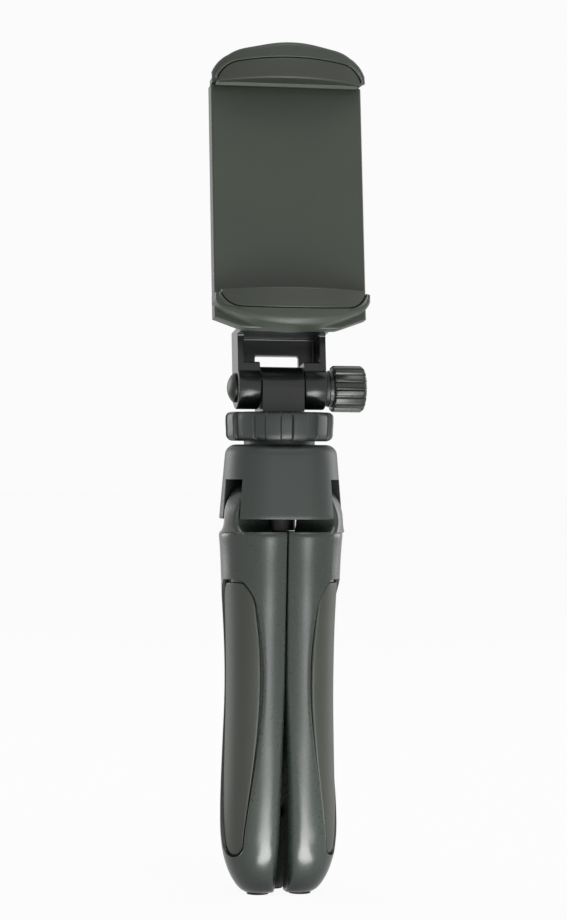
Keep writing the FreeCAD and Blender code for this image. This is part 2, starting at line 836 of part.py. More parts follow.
def upper_jaw():
    """The moving jaw: a shell like the lower one, a foot on the plate's top, a tongue and a hook."""
    body = new_body("upper_jaw")
    shell = outline_sketch(body, "XZ_Plane", shell_outline(True), "plate_front + jaw_reach")
    pad(body, shell, "jaw_reach + plate_thickness", backwards=True)
    pad_seat(body, True)
    step = outline_sketch(body, "YZ_Plane", box_path(
        "-plate_front - slide_gap", "0", "0", "plate_top + slide_gap"))
    pocket(body, step, "2 * plate_width", both=True)
    bow_front(body)
    tongue = outline_sketch(body, "XZ_Plane", box_path(
        "-tongue_width / 2", "plate_top - tongue_length", "tongue_width / 2", "plate_top + cut_margin"),
        f"-({PLATE_BACK} - slide_gap)")
    pad(body, tongue, "tongue_thickness")
    hook = outline_sketch(body, "XZ_Plane", box_path(
        "-hook_half_width", "hook_height - hook_thickness / 2", "hook_half_width",
        "hook_height + hook_thickness / 2"), f"-({PLATE_BACK} - slide_gap - tongue_thickness / 2)")
    pad(body, hook, "hook_depth + tongue_thickness / 2", backwards=True)
    keep(body, clamp_place())


def jaw_pad(label, upper):
    """Rubber pad: a low arch in front view, bowed in plan, hollowed behind a lip that holds the phone."""
    body = new_body(label)
    front = outline_sketch(body, "XZ_Plane", pad_outline(upper, "0", "0"), "plate_front + jaw_reach")
    pad(body, front, "jaw_reach - slide_gap", backwards=True)
    bow_front(body)
    low, high = (jaw_height("-cut_margin", upper), jaw_height("pad_hook", upper))
    hollow = outline_sketch(body, "YZ_Plane", box_path(
        "pad_lip + jaw_plan_sag / 2 - plate_front - jaw_reach", low if upper else high,
        "0", high if upper else low))
    pocket(body, hollow, "2 * (pad_half_width - pad_lip)", both=True)
    keep(body, clamp_place())


def rear_cover():
    """A thin cover over the slide, with a hollow bulge for the springs and holes for its anchor pin."""
    body = new_body("rear_cover")
    flat = outline_sketch(body, "XZ_Plane", box_path(
        "-cover_half_width", "cover_bottom", "cover_half_width", "cover_top"), f"-{PLATE_BACK}")
    pad(body, flat, "cover_thickness", backwards=True)
    bulge = outline_sketch(body, "XZ_Plane", box_path(
        "-cover_bulge_half_width", "cover_bottom + cover_thickness",
        "cover_bulge_half_width", "cover_bulge_top"), f"-{PLATE_BACK}")
    pad(body, bulge, "cover_thickness + cover_bulge", backwards=True)
    back = value(f"{PLATE_BACK} + cover_thickness + cover_bulge")
    bevel_edges(body, "cover_edge", lambda edge: edge.BoundBox.YMin > back - 0.001)
    hollow = outline_sketch(body, "XZ_Plane", box_path(
        "cover_thickness - cover_bulge_half_width", "cover_bottom + 2 * cover_thickness",
        "cover_bulge_half_width - cover_thickness", "cover_bulge_top - cover_thickness"), f"-{PLATE_BACK}")
    pocket(body, hollow, "cover_bulge")
    pin_hole = circle_sketch(body, "YZ_Plane", f"{PLATE_BACK} + spring_depth", "spring_low", "anchor_radius")
    pocket(body, pin_hole, "2 * cover_bulge_half_width - cover_thickness", both=True)
    screw_holes(body, COVER_SCREWS, "small_screw_radius", COVER_BACK, "2 * cover_thickness")
    keep(body, clamp_place())


def small_screws(label, places, seat):
    """A group of alike pan-head screws, driven forwards into the clamp body."""
    screws = []
    for number, (across, up) in enumerate(places):
        screw = lathe(f"{label}_{number}", [
            ("0", "-small_screw_length"),
            ("small_screw_radius", "-small_screw_length"),
            ("small_screw_radius", "0"),
            ("small_screw_head_radius", "0"),
            ("small_screw_head_radius", "small_screw_head_height - small_screw_head_edge"),
            ("small_screw_head_radius - small_screw_head_edge", "small_screw_head_height"),
            ("0", "small_screw_head_height"),
        ])
        facing = Rotation(Vector(1, 0, 0), -90)
        screw.Placement = Placement(Vector(value(across), value(seat), value(up)), facing)
        screws.append(screw)
    keep(group(label, screws), clamp_place())


def spring(label, side):
    """Tension spring, as the tube that its close coils fill, from the anchor pin to the jaw's hook."""
    body = new_body(label)
    across = f"{side} * spring_offset"
    ring = new_sketch(body, "XY_Plane", "spring_low + anchor_radius")
    draw_circle(ring, across, f"{PLATE_BACK} + spring_depth", "spring_radius")
    draw_circle(ring, across, f"{PLATE_BACK} + spring_depth", "spring_bore")
    pad(body, ring, "hook_height - hook_thickness / 2 - slide_gap / 2 - spring_low - anchor_radius")
    keep(body, clamp_place())


def anchor_pin():
    body = new_body("spring_anchor_pin")
    rod = circle_sketch(body, "YZ_Plane", f"{PLATE_BACK} + spring_depth", "spring_low", "anchor_radius")
    pad(body, rod, "2 * cover_bulge_half_width - cover_thickness", both=True)
    keep(body, clamp_place())


# Tilt bolt, washer, knob and nut, turned about the tilt axis

EAR_END = "(bracket_width / 2)"
KNOB_LOW = f"({EAR_END} + tilt_washer_thickness + knob_gap)"
KNOB_HIGH = f"({KNOB_LOW} + knob_length)"
BOLT_END = f"(bolt_length - {EAR_END})"


def axle_place():
    """From a turned piece's own Z to the tilt axis."""
    return clamp_place().multiply(Placement(Vector(), Rotation(Vector(0, 1, 0), 90)))


def dome(radius):
    """How far along the axis the bolt's dome lies at a radius."""
    return f"(bolt_dome_radius - sqrt(bolt_dome_radius ^ 2 - ({radius}) ^ 2) - {EAR_END} - bolt_head_height)"


def tilt_bolt():
    keep(lathe("tilt_bolt", [
        ("0", dome("0")),
        ("bolt_head_radius", dome("bolt_head_radius"), "bolt_head_radius / 2", dome("bolt_head_radius / 2")),
        ("bolt_head_radius", f"-{EAR_END}"),
        ("bolt_radius", f"-{EAR_END}"),
        ("bolt_radius", f"{BOLT_END} - thread_chamfer"),
        ("bolt_radius - thread_chamfer", BOLT_END),
        ("0", BOLT_END),
    ]), axle_place())


def tilt_washer():
    keep(lathe("tilt_washer", box_path(
        "bolt_radius", EAR_END, "tilt_washer_radius", f"{EAR_END} + tilt_washer_thickness")), axle_place())


def hexagon():
    return [(f"nut_flats / sqrt(3) * cos({turn_by})", f"nut_flats / sqrt(3) * sin({turn_by})")
            for turn_by in range(0, 360, 60)]


def tilt_knob():
    """A round knob with a neck, a hexagon socket for its nut and flutes with sloping sides all round."""
    body = lathe("tilt_knob", [
        ("bolt_radius + knob_bore_gap", KNOB_LOW),
        ("knob_neck_radius", KNOB_LOW),
        ("knob_neck_radius", f"{KNOB_LOW} + knob_neck_length"),
        ("knob_radius - knob_edge", f"{KNOB_LOW} + knob_neck_length"),
        ("knob_radius", f"{KNOB_LOW} + knob_neck_length + knob_edge"),
        ("knob_radius", f"{KNOB_HIGH} - knob_end_edge"),
        ("knob_radius - knob_end_edge", KNOB_HIGH),
        ("0", KNOB_HIGH),
        ("0", f"{BOLT_END} + end_gap"),
        ("bolt_radius + knob_bore_gap", f"{BOLT_END} + end_gap"),
    ])
    socket = outline_sketch(body, "XY_Plane", hexagon(), KNOB_LOW)
    pocket(body, socket, "nut_length", backwards=True)
    flute = outline_sketch(body, "XY_Plane", [
        ("knob_radius - flute_depth", "-flute_floor / 2"),
        ("knob_radius + flute_depth", "flute_floor / 2 - flute_width"),
        ("knob_radius + flute_depth", "flute_width - flute_floor / 2"),
        ("knob_radius - flute_depth", "flute_floor / 2"),
    ], f"{KNOB_LOW} + knob_neck_length")
    cut = pocket(body, flute, "2 * knob_length", backwards=True)
    polar(body, cut, "flute_count")
    keep(body, axle_place())


def knob_nut():
    body = new_body("knob_nut")
    face = new_sketch(body, "XY_Plane", KNOB_LOW)
    draw_outline(face, hexagon())
    draw_circle(face, "0", "0", "bolt_radius + running_gap")
    pad(body, face, "nut_length")
    keep(body, axle_place())


def write_all():
    """Stop on any failed object or bad solid, then write one file for each sub-part."""
    doc.recompute()
    failed = [item.Name for item in doc.Objects if "Invalid" in item.State or "Error" in item.State]
    if failed:
        raise RuntimeError(f"failed objects: {failed}")
    for item in nodes:
        if item.Shape.isNull() or not item.Shape.isValid():
            raise RuntimeError(f"bad shape: {item.Label}")
    os.makedirs("parts", exist_ok=True)
    for item in nodes:
        item.Shape.exportStep(f"parts/{item.Label}.step")
        print(item.Label, len(item.Shape.Solids), round(item.Shape.Volume, 1))


for index, angle in enumerate(LEG_ANGLES, start=1):
    leg(index, angle)
    grip(index, angle)
    foot(index, angle)
    hinge_pin(index, angle)
hub()
hub_plug()
mounting_screw()
thrust_washer()
lock_wheel()
pan_block()
tilt_bracket()
clamp_body()
jaw_pad("lower_jaw_pad", False)
upper_jaw()
jaw_pad("upper_jaw_pad", True)
rear_cover()
small_screws("cover_screws", COVER_SCREWS, COVER_BACK)
small_screws("bracket_screws", BRACKET_SCREWS, FLANGE_BACK)
spring("jaw_spring_left", "-1")
spring("jaw_spring_right", "1")
anchor_pin()
tilt_bolt()
tilt_washer()
tilt_knob()
knob_nut()
write_all()
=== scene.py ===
import math

import bmesh
import bpy
import numpy as np
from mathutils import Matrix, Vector


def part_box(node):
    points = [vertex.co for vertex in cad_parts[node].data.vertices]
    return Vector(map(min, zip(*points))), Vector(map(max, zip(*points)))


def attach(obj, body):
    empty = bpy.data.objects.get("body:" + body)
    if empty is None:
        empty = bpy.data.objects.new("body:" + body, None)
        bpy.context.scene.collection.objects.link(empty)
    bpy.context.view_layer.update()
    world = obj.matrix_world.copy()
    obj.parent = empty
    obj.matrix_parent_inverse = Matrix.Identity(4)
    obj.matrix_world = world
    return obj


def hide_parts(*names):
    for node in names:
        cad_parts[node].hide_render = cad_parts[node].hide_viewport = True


# Mini tripod with a phone clamp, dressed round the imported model. Shapes are worked out in millimetres
# and put into the meshes in metres. The clamp's own frame has its origin on the tilt axis.

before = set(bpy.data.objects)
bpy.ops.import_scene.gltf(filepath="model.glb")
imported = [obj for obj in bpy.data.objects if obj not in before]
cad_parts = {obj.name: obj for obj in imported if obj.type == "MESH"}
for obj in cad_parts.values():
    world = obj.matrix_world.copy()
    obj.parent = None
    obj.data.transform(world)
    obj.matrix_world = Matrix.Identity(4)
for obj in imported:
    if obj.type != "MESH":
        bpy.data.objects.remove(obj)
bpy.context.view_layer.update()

MM = 0.001
# degrees: where the legs stand round the column, how far the clamp leans back, and the sharpest bend that
# is still shaded as a curve
LEG_TURNS = (-150, -30, 90)
CLAMP_LEAN = 8.0
SMOOTH_UNDER = 34.0
# millimetres: corners closer together than this are made one, and edges shorter than that are dropped
MERGE_UNDER, DROP_UNDER = 0.002, 0.0005
# how far from the column a leg's own axis and its hinge lie
LEG_AXIS, HINGE_OUT = 6.5, 13.4


# Places, taken from the model's own pieces


def middle(node):
    """Centre of a piece of the model, in millimetres."""
    low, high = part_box(node)
    return (np.array(low) + np.array(high)) / 2 / MM


COLUMN = middle("mounting_screw") * (1, 1, 0)
TILT = middle("tilt_washer") * (0, 1, 1) + COLUMN * (1, 0, 0)


def turned_by(points, turn):
    """Points turned about Z: (x cos a - y sin a, x sin a + y cos a, z)."""
    a = math.radians(turn)
    x, y, z = points[..., 0], points[..., 1], points[..., 2]
    return np.stack([x * math.cos(a) - y * math.sin(a), x * math.sin(a) + y * math.cos(a), z], -1)


def from_leg(points, turn):
    """A leg's own points, X outwards: moved out to the leg's axis, then turned round the column."""
    return turned_by(points + (LEG_AXIS, 0, 0), turn) + COLUMN


def from_clamp(points):
    """The clamp's own points: leaned back about X, then lifted to the tilt axis."""
    c, s = math.cos(math.radians(CLAMP_LEAN)), math.sin(math.radians(CLAMP_LEAN))
    x, y, z = points[..., 0], points[..., 1], points[..., 2]
    return np.stack([x, y * c + z * s, z * c - y * s], -1) + TILT


def from_axle(points):
    """Points round a Z axle: laid along the tilt axis, then placed with the clamp."""
    return from_clamp(points[..., [2, 1, 0]] * (1, 1, -1))


# Surfaces


def join_grids(name, grids):
    """Mesh of closed grids: each row is a ring, each ring is joined to the next, and the two end rings have
    shrunk to a point or a line, so that merging their doubles closes the skin. A grid whose signed volume is
    negative is turned round."""
    points, faces, start = [], [], 0
    for grid in grids:
        rows, columns = grid.shape[:2]
        i, j = np.meshgrid(np.arange(rows - 1), np.arange(columns), indexing="ij")
        k = (j + 1) % columns
        quads = np.stack([i * columns + j, i * columns + k, (i + 1) * columns + k, (i + 1) * columns + j], -1)
        quads = quads.reshape(-1, 4)
        flat = grid.reshape(-1, 3)
        a, b, c, d = (flat[quads[:, n]] - flat.mean(0) for n in range(4))
        volume = (np.cross(a, b) * c).sum() + (np.cross(a, c) * d).sum()
        points.append(flat * MM)
        faces.append((quads if volume > 0 else quads[:, ::-1]) + start)
        start += len(flat)
    mesh = bpy.data.meshes.new(name)
    mesh.from_pydata(np.concatenate(points).tolist(), [], np.concatenate(faces).tolist())
    work = bmesh.new()
    work.from_mesh(mesh)
    bmesh.ops.remove_doubles(work, verts=work.verts, dist=MERGE_UNDER * MM)
    bmesh.ops.dissolve_degenerate(work, edges=work.edges, dist=DROP_UNDER * MM)
    work.to_mesh(mesh)
    work.free()
    return mesh


def folded(ring, across=0.0):
    """A ring pressed flat onto a line, to close the end of a skin."""
    flat = ring.copy()
    flat[:, 1] = across
    return flat[None]


def piece(name, grids, material, body, nodes):
    """A finished piece from its grids, riding on its body and standing for its nodes."""
    mesh = join_grids(name, grids)
    mesh.polygons.foreach_set("use_smooth", np.ones(len(mesh.polygons), bool))
    mesh.set_sharp_from_angle(angle=math.radians(SMOOTH_UNDER))
    mesh.materials.append(material)
    thing = bpy.data.objects.new(name, mesh)
    bpy.context.scene.collection.objects.link(thing)
    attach(thing, body)
    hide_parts(*nodes)


def smooth_line(at, knots):
    """Smooth curve through (place, value) knots: cubic pieces, whose slope at a knot is the mean of the two
    straight slopes beside it, or level where these turn from rise to fall."""
    x, y = np.array(knots, float).T
    steps = np.diff(y) / np.diff(x)
    slopes = np.concatenate([[steps[0]], (steps[1:] + steps[:-1]) / 2, [steps[-1]]])
    slopes[1:-1][steps[1:] * steps[:-1] <= 0] = 0
    at = np.clip(at, x[0], x[-1])
    n = np.clip(np.searchsorted(x, at, side="right") - 1, 0, len(x) - 2)
    span = x[n + 1] - x[n]
    t = (at - x[n]) / span
    return ((1 + 2 * t) * (1 - t) ** 2 * y[n] + t * (1 - t) ** 2 * span * slopes[n]
            + t * t * (3 - 2 * t) * y[n + 1] + t * t * (t - 1) * span * slopes[n + 1])


def circle_through(a, b, c):
    """Centre and radius of the circle through three points of a plane."""
    (x1, y1), (x2, y2), (x3, y3) = a, b, c
    d = 2 * (x1 * (y2 - y3) + x2 * (y3 - y1) + x3 * (y1 - y2))
    q1, q2, q3 = x1 * x1 + y1 * y1, x2 * x2 + y2 * y2, x3 * x3 + y3 * y3
    x = (q1 * (y2 - y3) + q2 * (y3 - y1) + q3 * (y1 - y2)) / d
    y = (q1 * (x3 - x2) + q2 * (x1 - x3) + q3 * (x2 - x1)) / d
    return x, y, math.hypot(x1 - x, y1 - y)


def arc_through(a, b, c, at):
    """Across value of the circle through three (up, across) points, at the given heights."""
    up, across, radius = circle_through(a, b, c)
    side = 1 if b[1] > across else -1
    return across + side * np.sqrt(np.maximum(radius ** 2 - (at - up) ** 2, 0))


def three_point_arc(start, over, end, steps):
    """Points on the circle from start over a middle point to end."""
    x, y, radius = circle_through(start, over, end)
    turns = np.unwrap([math.atan2(point[1] - y, point[0] - x) for point in (start, over, end)])
    t = np.linspace(turns[0], turns[2], steps)
    return np.stack([x + radius * np.cos(t), y + radius * np.sin(t)], -1)


# Materials. After the name and its two shades, a moulding has its roughness, how far that varies, the size of
# its grain and the height of the grain's relief, and a metal has its roughness and the size of its brushing.
# All sizes are in millimetres, that of the cloudiness too. A sparked or moulded surface really has a grain of
# some hundredths of a millimetre, too fine to show in the picture, so each grain is drawn as coarse as it
# needs to show.

CLOUD = 14.0
BRUSH_RELIEF, BRUSH_SPREAD = 0.004, 0.08


def linear(colour):
    """Linear value of an sRGB hex colour."""
    parts = np.array([int(colour[n:n + 2], 16) / 255 for n in (1, 3, 5)])
    parts = np.where(parts <= 0.04045, parts / 12.92, ((parts + 0.055) / 1.055) ** 2.4)
    return (*parts, 1.0)


def add(tree, kind, settings=(), **links):
    """One node with its settings and its inputs, which are constants or other nodes' outputs."""
    node = tree.nodes.new(kind)
    for key, number in dict(settings).items():
        setattr(node, key, number)
    for key, source in links.items():
        socket = node.inputs[int(key[1:])] if key[1:].isdigit() else node.inputs[key.replace("_", " ")]
        if isinstance(source, bpy.types.NodeSocket):
            tree.links.new(source, socket)
        else:
            socket.default_value = source
    return node


def emptied_tree(owner):
    """The node tree of a material or a world, without its first nodes."""
    owner.use_nodes = True
    owner.node_tree.nodes.clear()
    return owner.node_tree


def moulding(name, dark, light, roughness, spread, grain_mm, relief_mm):
    """A moulded black material: cloudy colour between two shades, a fine grain in relief and in its gloss."""
    material = bpy.data.materials.new(name)
    tree = emptied_tree(material)
    where = add(tree, "ShaderNodeTexCoord").outputs["Object"]
    cloud = add(tree, "ShaderNodeTexNoise", Vector=where, Scale=1 / (CLOUD * MM), Detail=4.0, Roughness=0.6)
    grain = add(tree, "ShaderNodeTexNoise", Vector=where, Scale=1 / (grain_mm * MM), Detail=2.0,
                Roughness=0.5)
    shade = add(tree, "ShaderNodeMix", {"data_type": "RGBA"}, _6=linear(dark), _7=linear(light),
                _0=cloud.outputs["Fac"])
    gloss = add(tree, "ShaderNodeMapRange", Value=grain.outputs["Fac"], To_Min=roughness - spread,
                To_Max=roughness + spread, From_Min=0.3, From_Max=0.7)
    relief = add(tree, "ShaderNodeBump", Height=grain.outputs["Fac"], Strength=1.0, Distance=relief_mm * MM)
    skin = add(tree, "ShaderNodeBsdfPrincipled", Base_Color=shade.outputs[2], Roughness=gloss.outputs[0],
               Normal=relief.outputs[0])
    skin.inputs["IOR"].default_value = 1.5
    add(tree, "ShaderNodeOutputMaterial", Surface=skin.outputs[0])
    return material


def metal(name, colour, worn, roughness, brush_mm):
    """A turned or drawn metal: its colour with slightly duller patches, and fine brushing in its gloss."""
    material = bpy.data.materials.new(name)
    tree = emptied_tree(material)
    where = add(tree, "ShaderNodeTexCoord").outputs["Object"]
    brush = add(tree, "ShaderNodeTexNoise", Vector=where, Scale=1 / (brush_mm * MM), Detail=3.0,
                Roughness=0.6)
    shade = add(tree, "ShaderNodeMix", {"data_type": "RGBA"}, _6=linear(colour), _7=linear(worn),
                _0=brush.outputs["Fac"])
    gloss = add(tree, "ShaderNodeMapRange", Value=brush.outputs["Fac"], To_Min=roughness - BRUSH_SPREAD,
                To_Max=roughness + BRUSH_SPREAD)
    relief = add(tree, "ShaderNodeBump", Height=brush.outputs["Fac"], Strength=1.0,
                 Distance=BRUSH_RELIEF * MM)
    skin = add(tree, "ShaderNodeBsdfPrincipled", Base_Color=shade.outputs[2], Roughness=gloss.outputs[0],
               Normal=relief.outputs[0])
    skin.inputs["Metallic"].default_value = 1.0
    add(tree, "ShaderNodeOutputMaterial", Surface=skin.outputs[0])
    return material


# ABS from a polished mould: the legs' smooth satin skin, a black that looks slightly green grey
leg_abs = moulding("satin_moulded_abs", "#222824", "#272d28", 0.28, 0.01, 1.2, 0.0001)
# thermoplastic rubber let into the leg's side: matte, a little warmer
grip_tpe = moulding("matte_soft_tpe", "#20231d", "#262a22", 0.5, 0.06, 0.4, 0.008)
# ABS from a finely sparked mould: matte, an even dark grey without clear reflections
hub_abs = moulding("fine_textured_abs", "#1e2421", "#242a26", 0.46, 0.05, 0.3, 0.008)
# the same for the clamp's plate and jaws, a little more olive
clamp_abs = moulding("flat_textured_abs", "#2a3028", "#31372d", 0.48, 0.05, 0.3, 0.008)
# ABS from a polished mould: the bracket and the block are the deepest and glossiest black
bracket_abs = moulding("gloss_moulded_abs", "#0f1411", "#141915", 0.24, 0.01, 0.8, 0.0003)
# the jaws' pads, of the same rubber as the grips
pad_tpe = moulding("matte_pad_tpe", "#272c24", "#2e3229", 0.5, 0.05, 0.3, 0.01)
# ABS worn smooth by the fingers: bright lines along the flutes
knob_abs = moulding("satin_knob_abs", "#1d221d", "#232822", 0.26, 0.02, 0.5, 0.001)
# turned nylon, for the washers that brake the wheel and the knob: dull black
washer_nylon = moulding("black_washer_nylon", "#171817", "#1e1f1d", 0.45, 0.05, 0.4, 0.004)
# cured rubber: the dullest of the blacks
foot_rubber = moulding("matte_foot_rubber", "#232321", "#2a2a28", 0.75, 0.05, 0.3, 0.02)
# steel, oxidised black for the screws and the bolt, bare and turned for what is hidden, drawn for the springs
black_steel = metal("blackened_steel", "#2b2d2b", "#363835", 0.36, 0.3)
plain_steel = metal("turned_steel", "#b4b4b0", "#a2a29e", 0.3, 0.2)
spring_wire = metal("drawn_spring_wire", "#9c9c98", "#8a8a86", 0.34, 0.2)

# pieces whose own shape is right only get their material
for names, material in (
    (("foot_1", "foot_2", "foot_3"), foot_rubber),
    (("hinge_pin_1", "hinge_pin_2", "hinge_pin_3"), plain_steel),
    (("mounting_screw", "knob_nut", "spring_anchor_pin"), plain_steel),
    (("thrust_washer", "tilt_washer"), washer_nylon),
    (("hub_plug",), hub_abs),
    (("pan_block", "tilt_bracket"), bracket_abs),
    (("rear_cover",), clamp_abs),
    (("cover_screws", "bracket_screws", "tilt_bolt"), black_steel),
    (("jaw_spring_left", "jaw_spring_right"), spring_wire),
):
    for name in names:
        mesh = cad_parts[name].data
        mesh.materials.clear()
        mesh.materials.append(material)


# Legs: (height, radius) of the turned side, then the grip's ends, its groove, how deep its recess is and how
# far its face lies below the side

LEG_SIDE = [(0.6, 4.4), (1.2, 5.45), (2.2, 6.55), (3.6, 7.6), (6.0, 8.95), (9.0, 10.1), (12.0, 10.9),
            (17.0, 11.6), (24.0, 11.8), (42.0, 11.4), (60.0, 11.1), (78.0, 11.35), (93.0, 12.0),
            (99.0, 12.25), (103.0, 12.5), (105.6, 12.7), (106.5, 12.3)]
GRIP_LOW, GRIP_HIGH = 12.0, 92.2
GROOVE = 0.45
GRIP_SINK = 1.6
GRIP_SET_BACK = 0.8
# half the gap between two legs, at the valley's low end and above the valley, and the heights between which
# the valley runs
VALLEY_GAP, SPLIT_GAP, VALLEY_LOW, VALLEY_TOP = 1.9, 0.15, -2.0, 62.0
# hollow bays between ribs on the leg's inner side: lowest one, height, pitch, number, half-width and floor
BAY_LOW, BAY_HEIGHT, BAY_PITCH, BAYS, BAY_HALF, BAY_FLOOR = 22.0, 17.0, 19.0, 4, 3.4, 5.5


def leg_radius(z):
    """Radius of a leg's turned side at a height: the smooth curve through LEG_SIDE."""
    return smooth_line(z, LEG_SIDE)


def grip_half_width(z, margin):
    """The grip's outline: three arcs each side, wide above the middle and drawn in to a rounded toe."""
    low, high = GRIP_LOW - margin, GRIP_HIGH + margin
    z = np.clip(z, low, high)
    calf = arc_through((low, 3.6 + margin), (37.0, 7.1 + margin), (62.4, 8.4 + margin), z)
    toe = np.clip((z - low) / 3.2, 0, 1)
    calf = calf * np.sqrt(toe * (2 - toe))
    flank = arc_through((62.4, 8.4 + margin), (76.0, 8.1 + margin), (84.0, 7.5 + margin), z)
    brow = arc_through((84.0, 7.5 + margin), (89.6, 5.9 + margin), (high, 3.3 + margin), z)
    return np.where(z < 62.4, calf, np.where(z < 84, flank, brow))


def leg_ring_heights():
    """Heights of the leg's rings with the state of its recess and of its inner bays at each. Two rings at one
    height make the flat ends of the recess and of the bays."""
    lows = [BAY_LOW + n * BAY_PITCH for n in range(BAYS)]
    bays = [(low, low + BAY_HEIGHT) for low in lows]
    plain = list(np.linspace(0.6, 2.2, 6)) + list(np.linspace(3, 21, 19)) + list(np.linspace(23, 105, 83))
    plain += [105.6, 105.95, 106.25, 106.45, 106.5]
    plain += [GRIP_LOW - GROOVE - 0.25, GRIP_HIGH + GROOVE + 0.25]
    events = sorted({round(z, 4) for z in plain} | {GRIP_LOW - GROOVE, GRIP_HIGH + GROOVE}
                    | {edge for bay in bays for edge in bay})
    rows = []
    for z in events:
        recess = [GRIP_LOW - GROOVE < z < GRIP_HIGH + GROOVE]
        bay = [any(low < z < high for low, high in bays)]
        if z in (GRIP_LOW - GROOVE, GRIP_HIGH + GROOVE):
            recess = [False, True] if z < 50 else [True, False]
            bay = bay * 2
        for low, high in bays:
            if z in (low, high):
                bay = [False, True] if z == low else [True, False]
                recess = recess * 2
        rows += [(z, r, b) for r, b in zip(recess, bay)]
    return (np.array(column) for column in zip(*rows))


def leg_skin():
    """Closed rings up the leg. A ring goes out along one side face, round the rounded seam edge, over the
    outside with the grip's recess let into it, round the other edge, back along the other side face and
    through the inner bay. The outside's radius and the edges' rounding are functions of height."""
    z, recess, bay = leg_ring_heights()
    z, recess, bay = z[:, None], recess[:, None], bay[:, None]
    radius = leg_radius(z)
    valley = VALLEY_GAP + (SPLIT_GAP - VALLEY_GAP) * (z - VALLEY_LOW) / (VALLEY_TOP - VALLEY_LOW)
    split = np.where(z < VALLEY_TOP, valley, SPLIT_GAP)
    tip = split / math.sin(math.radians(60)) - LEG_AXIS
    edge = smooth_line(z, [(0.6, 2.4), (2.2, 3.6), (5, 4.4), (9, 4.7), (20, 4.4), (40, 2.9), (62, 1.5),
                           (90, 0.8), (106.5, 0.5)])
    # the rounding's centre lies one rounding in from the side face and from the outside
    along = np.array([0.5, math.sqrt(0.75)])
    inward = np.array([math.sqrt(0.75), -0.5])
    qx, qy = tip + edge * inward[0], edge * inward[1]
    dot = qx * along[0] + qy * along[1]
    far = -dot + np.sqrt(dot ** 2 - qx ** 2 - qy ** 2 + (radius - edge) ** 2)
    cx, cy = qx + far * along[0], qy + far * along[1]
    turn_out = np.arctan2(cy, cx)
    t = np.linspace(0, 1, 7)[None, :]
    face_turn = math.radians(150)
    sweep = face_turn + (turn_out - face_turn) * t
    edge_x, edge_y = cx + edge * np.cos(sweep), cy + edge * np.sin(sweep)
    # side face, from the bay's mouth outwards
    mouth = BAY_HALF / math.tan(math.radians(60)) + tip
    mouth_y = (mouth - tip) * math.tan(math.radians(60))
    s = np.linspace(0, 1, 6)[None, :-1]
    face_x = mouth + (edge_x[:, :1] - mouth) * s
    face_y = mouth_y + (edge_y[:, :1] - mouth_y) * s
    # outside, from the rounded edge in to the recess
    lip = grip_half_width(z, GROOVE)
    lip_turn = np.arcsin(np.clip(lip / radius, -1, 1))
    bead_turn = np.minimum(lip_turn + 0.3 / radius, turn_out * 0.5 + lip_turn * 0.5)
    u = np.linspace(0, 1, 7)[None, 1:]
    out_turn = turn_out + (bead_turn - turn_out) * u
    out_x, out_y = radius * np.cos(out_turn), radius * np.sin(out_turn)
    # recess: rounded lip, wall and floor
    depths = np.array([[0.1, 0.3, GRIP_SINK, GRIP_SINK, GRIP_SINK, GRIP_SINK]]) * np.where(recess, 1.0, 0.0)
    turns = np.concatenate([lip_turn + 0.12 / radius, lip_turn * [[1, 1, 0.66, 0.33, 0]]], 1)
    floor_x, floor_y = (radius - depths) * np.cos(turns), (radius - depths) * np.sin(turns)
    # bay: from the mouth in along its wall to its floor, or folded onto the side faces
    bay_x = np.where(bay, BAY_FLOOR, tip) * [[1, 1]]
    bay_y = np.where(bay, BAY_HALF, 0.0) * [[0, 1]]
    # half a ring and its mirror
    half_x = np.concatenate([bay_x, face_x, edge_x, out_x, floor_x], 1)
    half_y = np.concatenate([bay_y, face_y, edge_y, out_y, floor_y], 1)
    ring_x = np.concatenate([half_x, half_x[:, -2:0:-1]], 1)
    ring_y = np.concatenate([half_y, -half_y[:, -2:0:-1]], 1)
    grid = np.stack([ring_x, ring_y, np.broadcast_to(z, ring_x.shape)], -1)
    return np.concatenate([folded(grid[0]), grid, folded(grid[-1])])


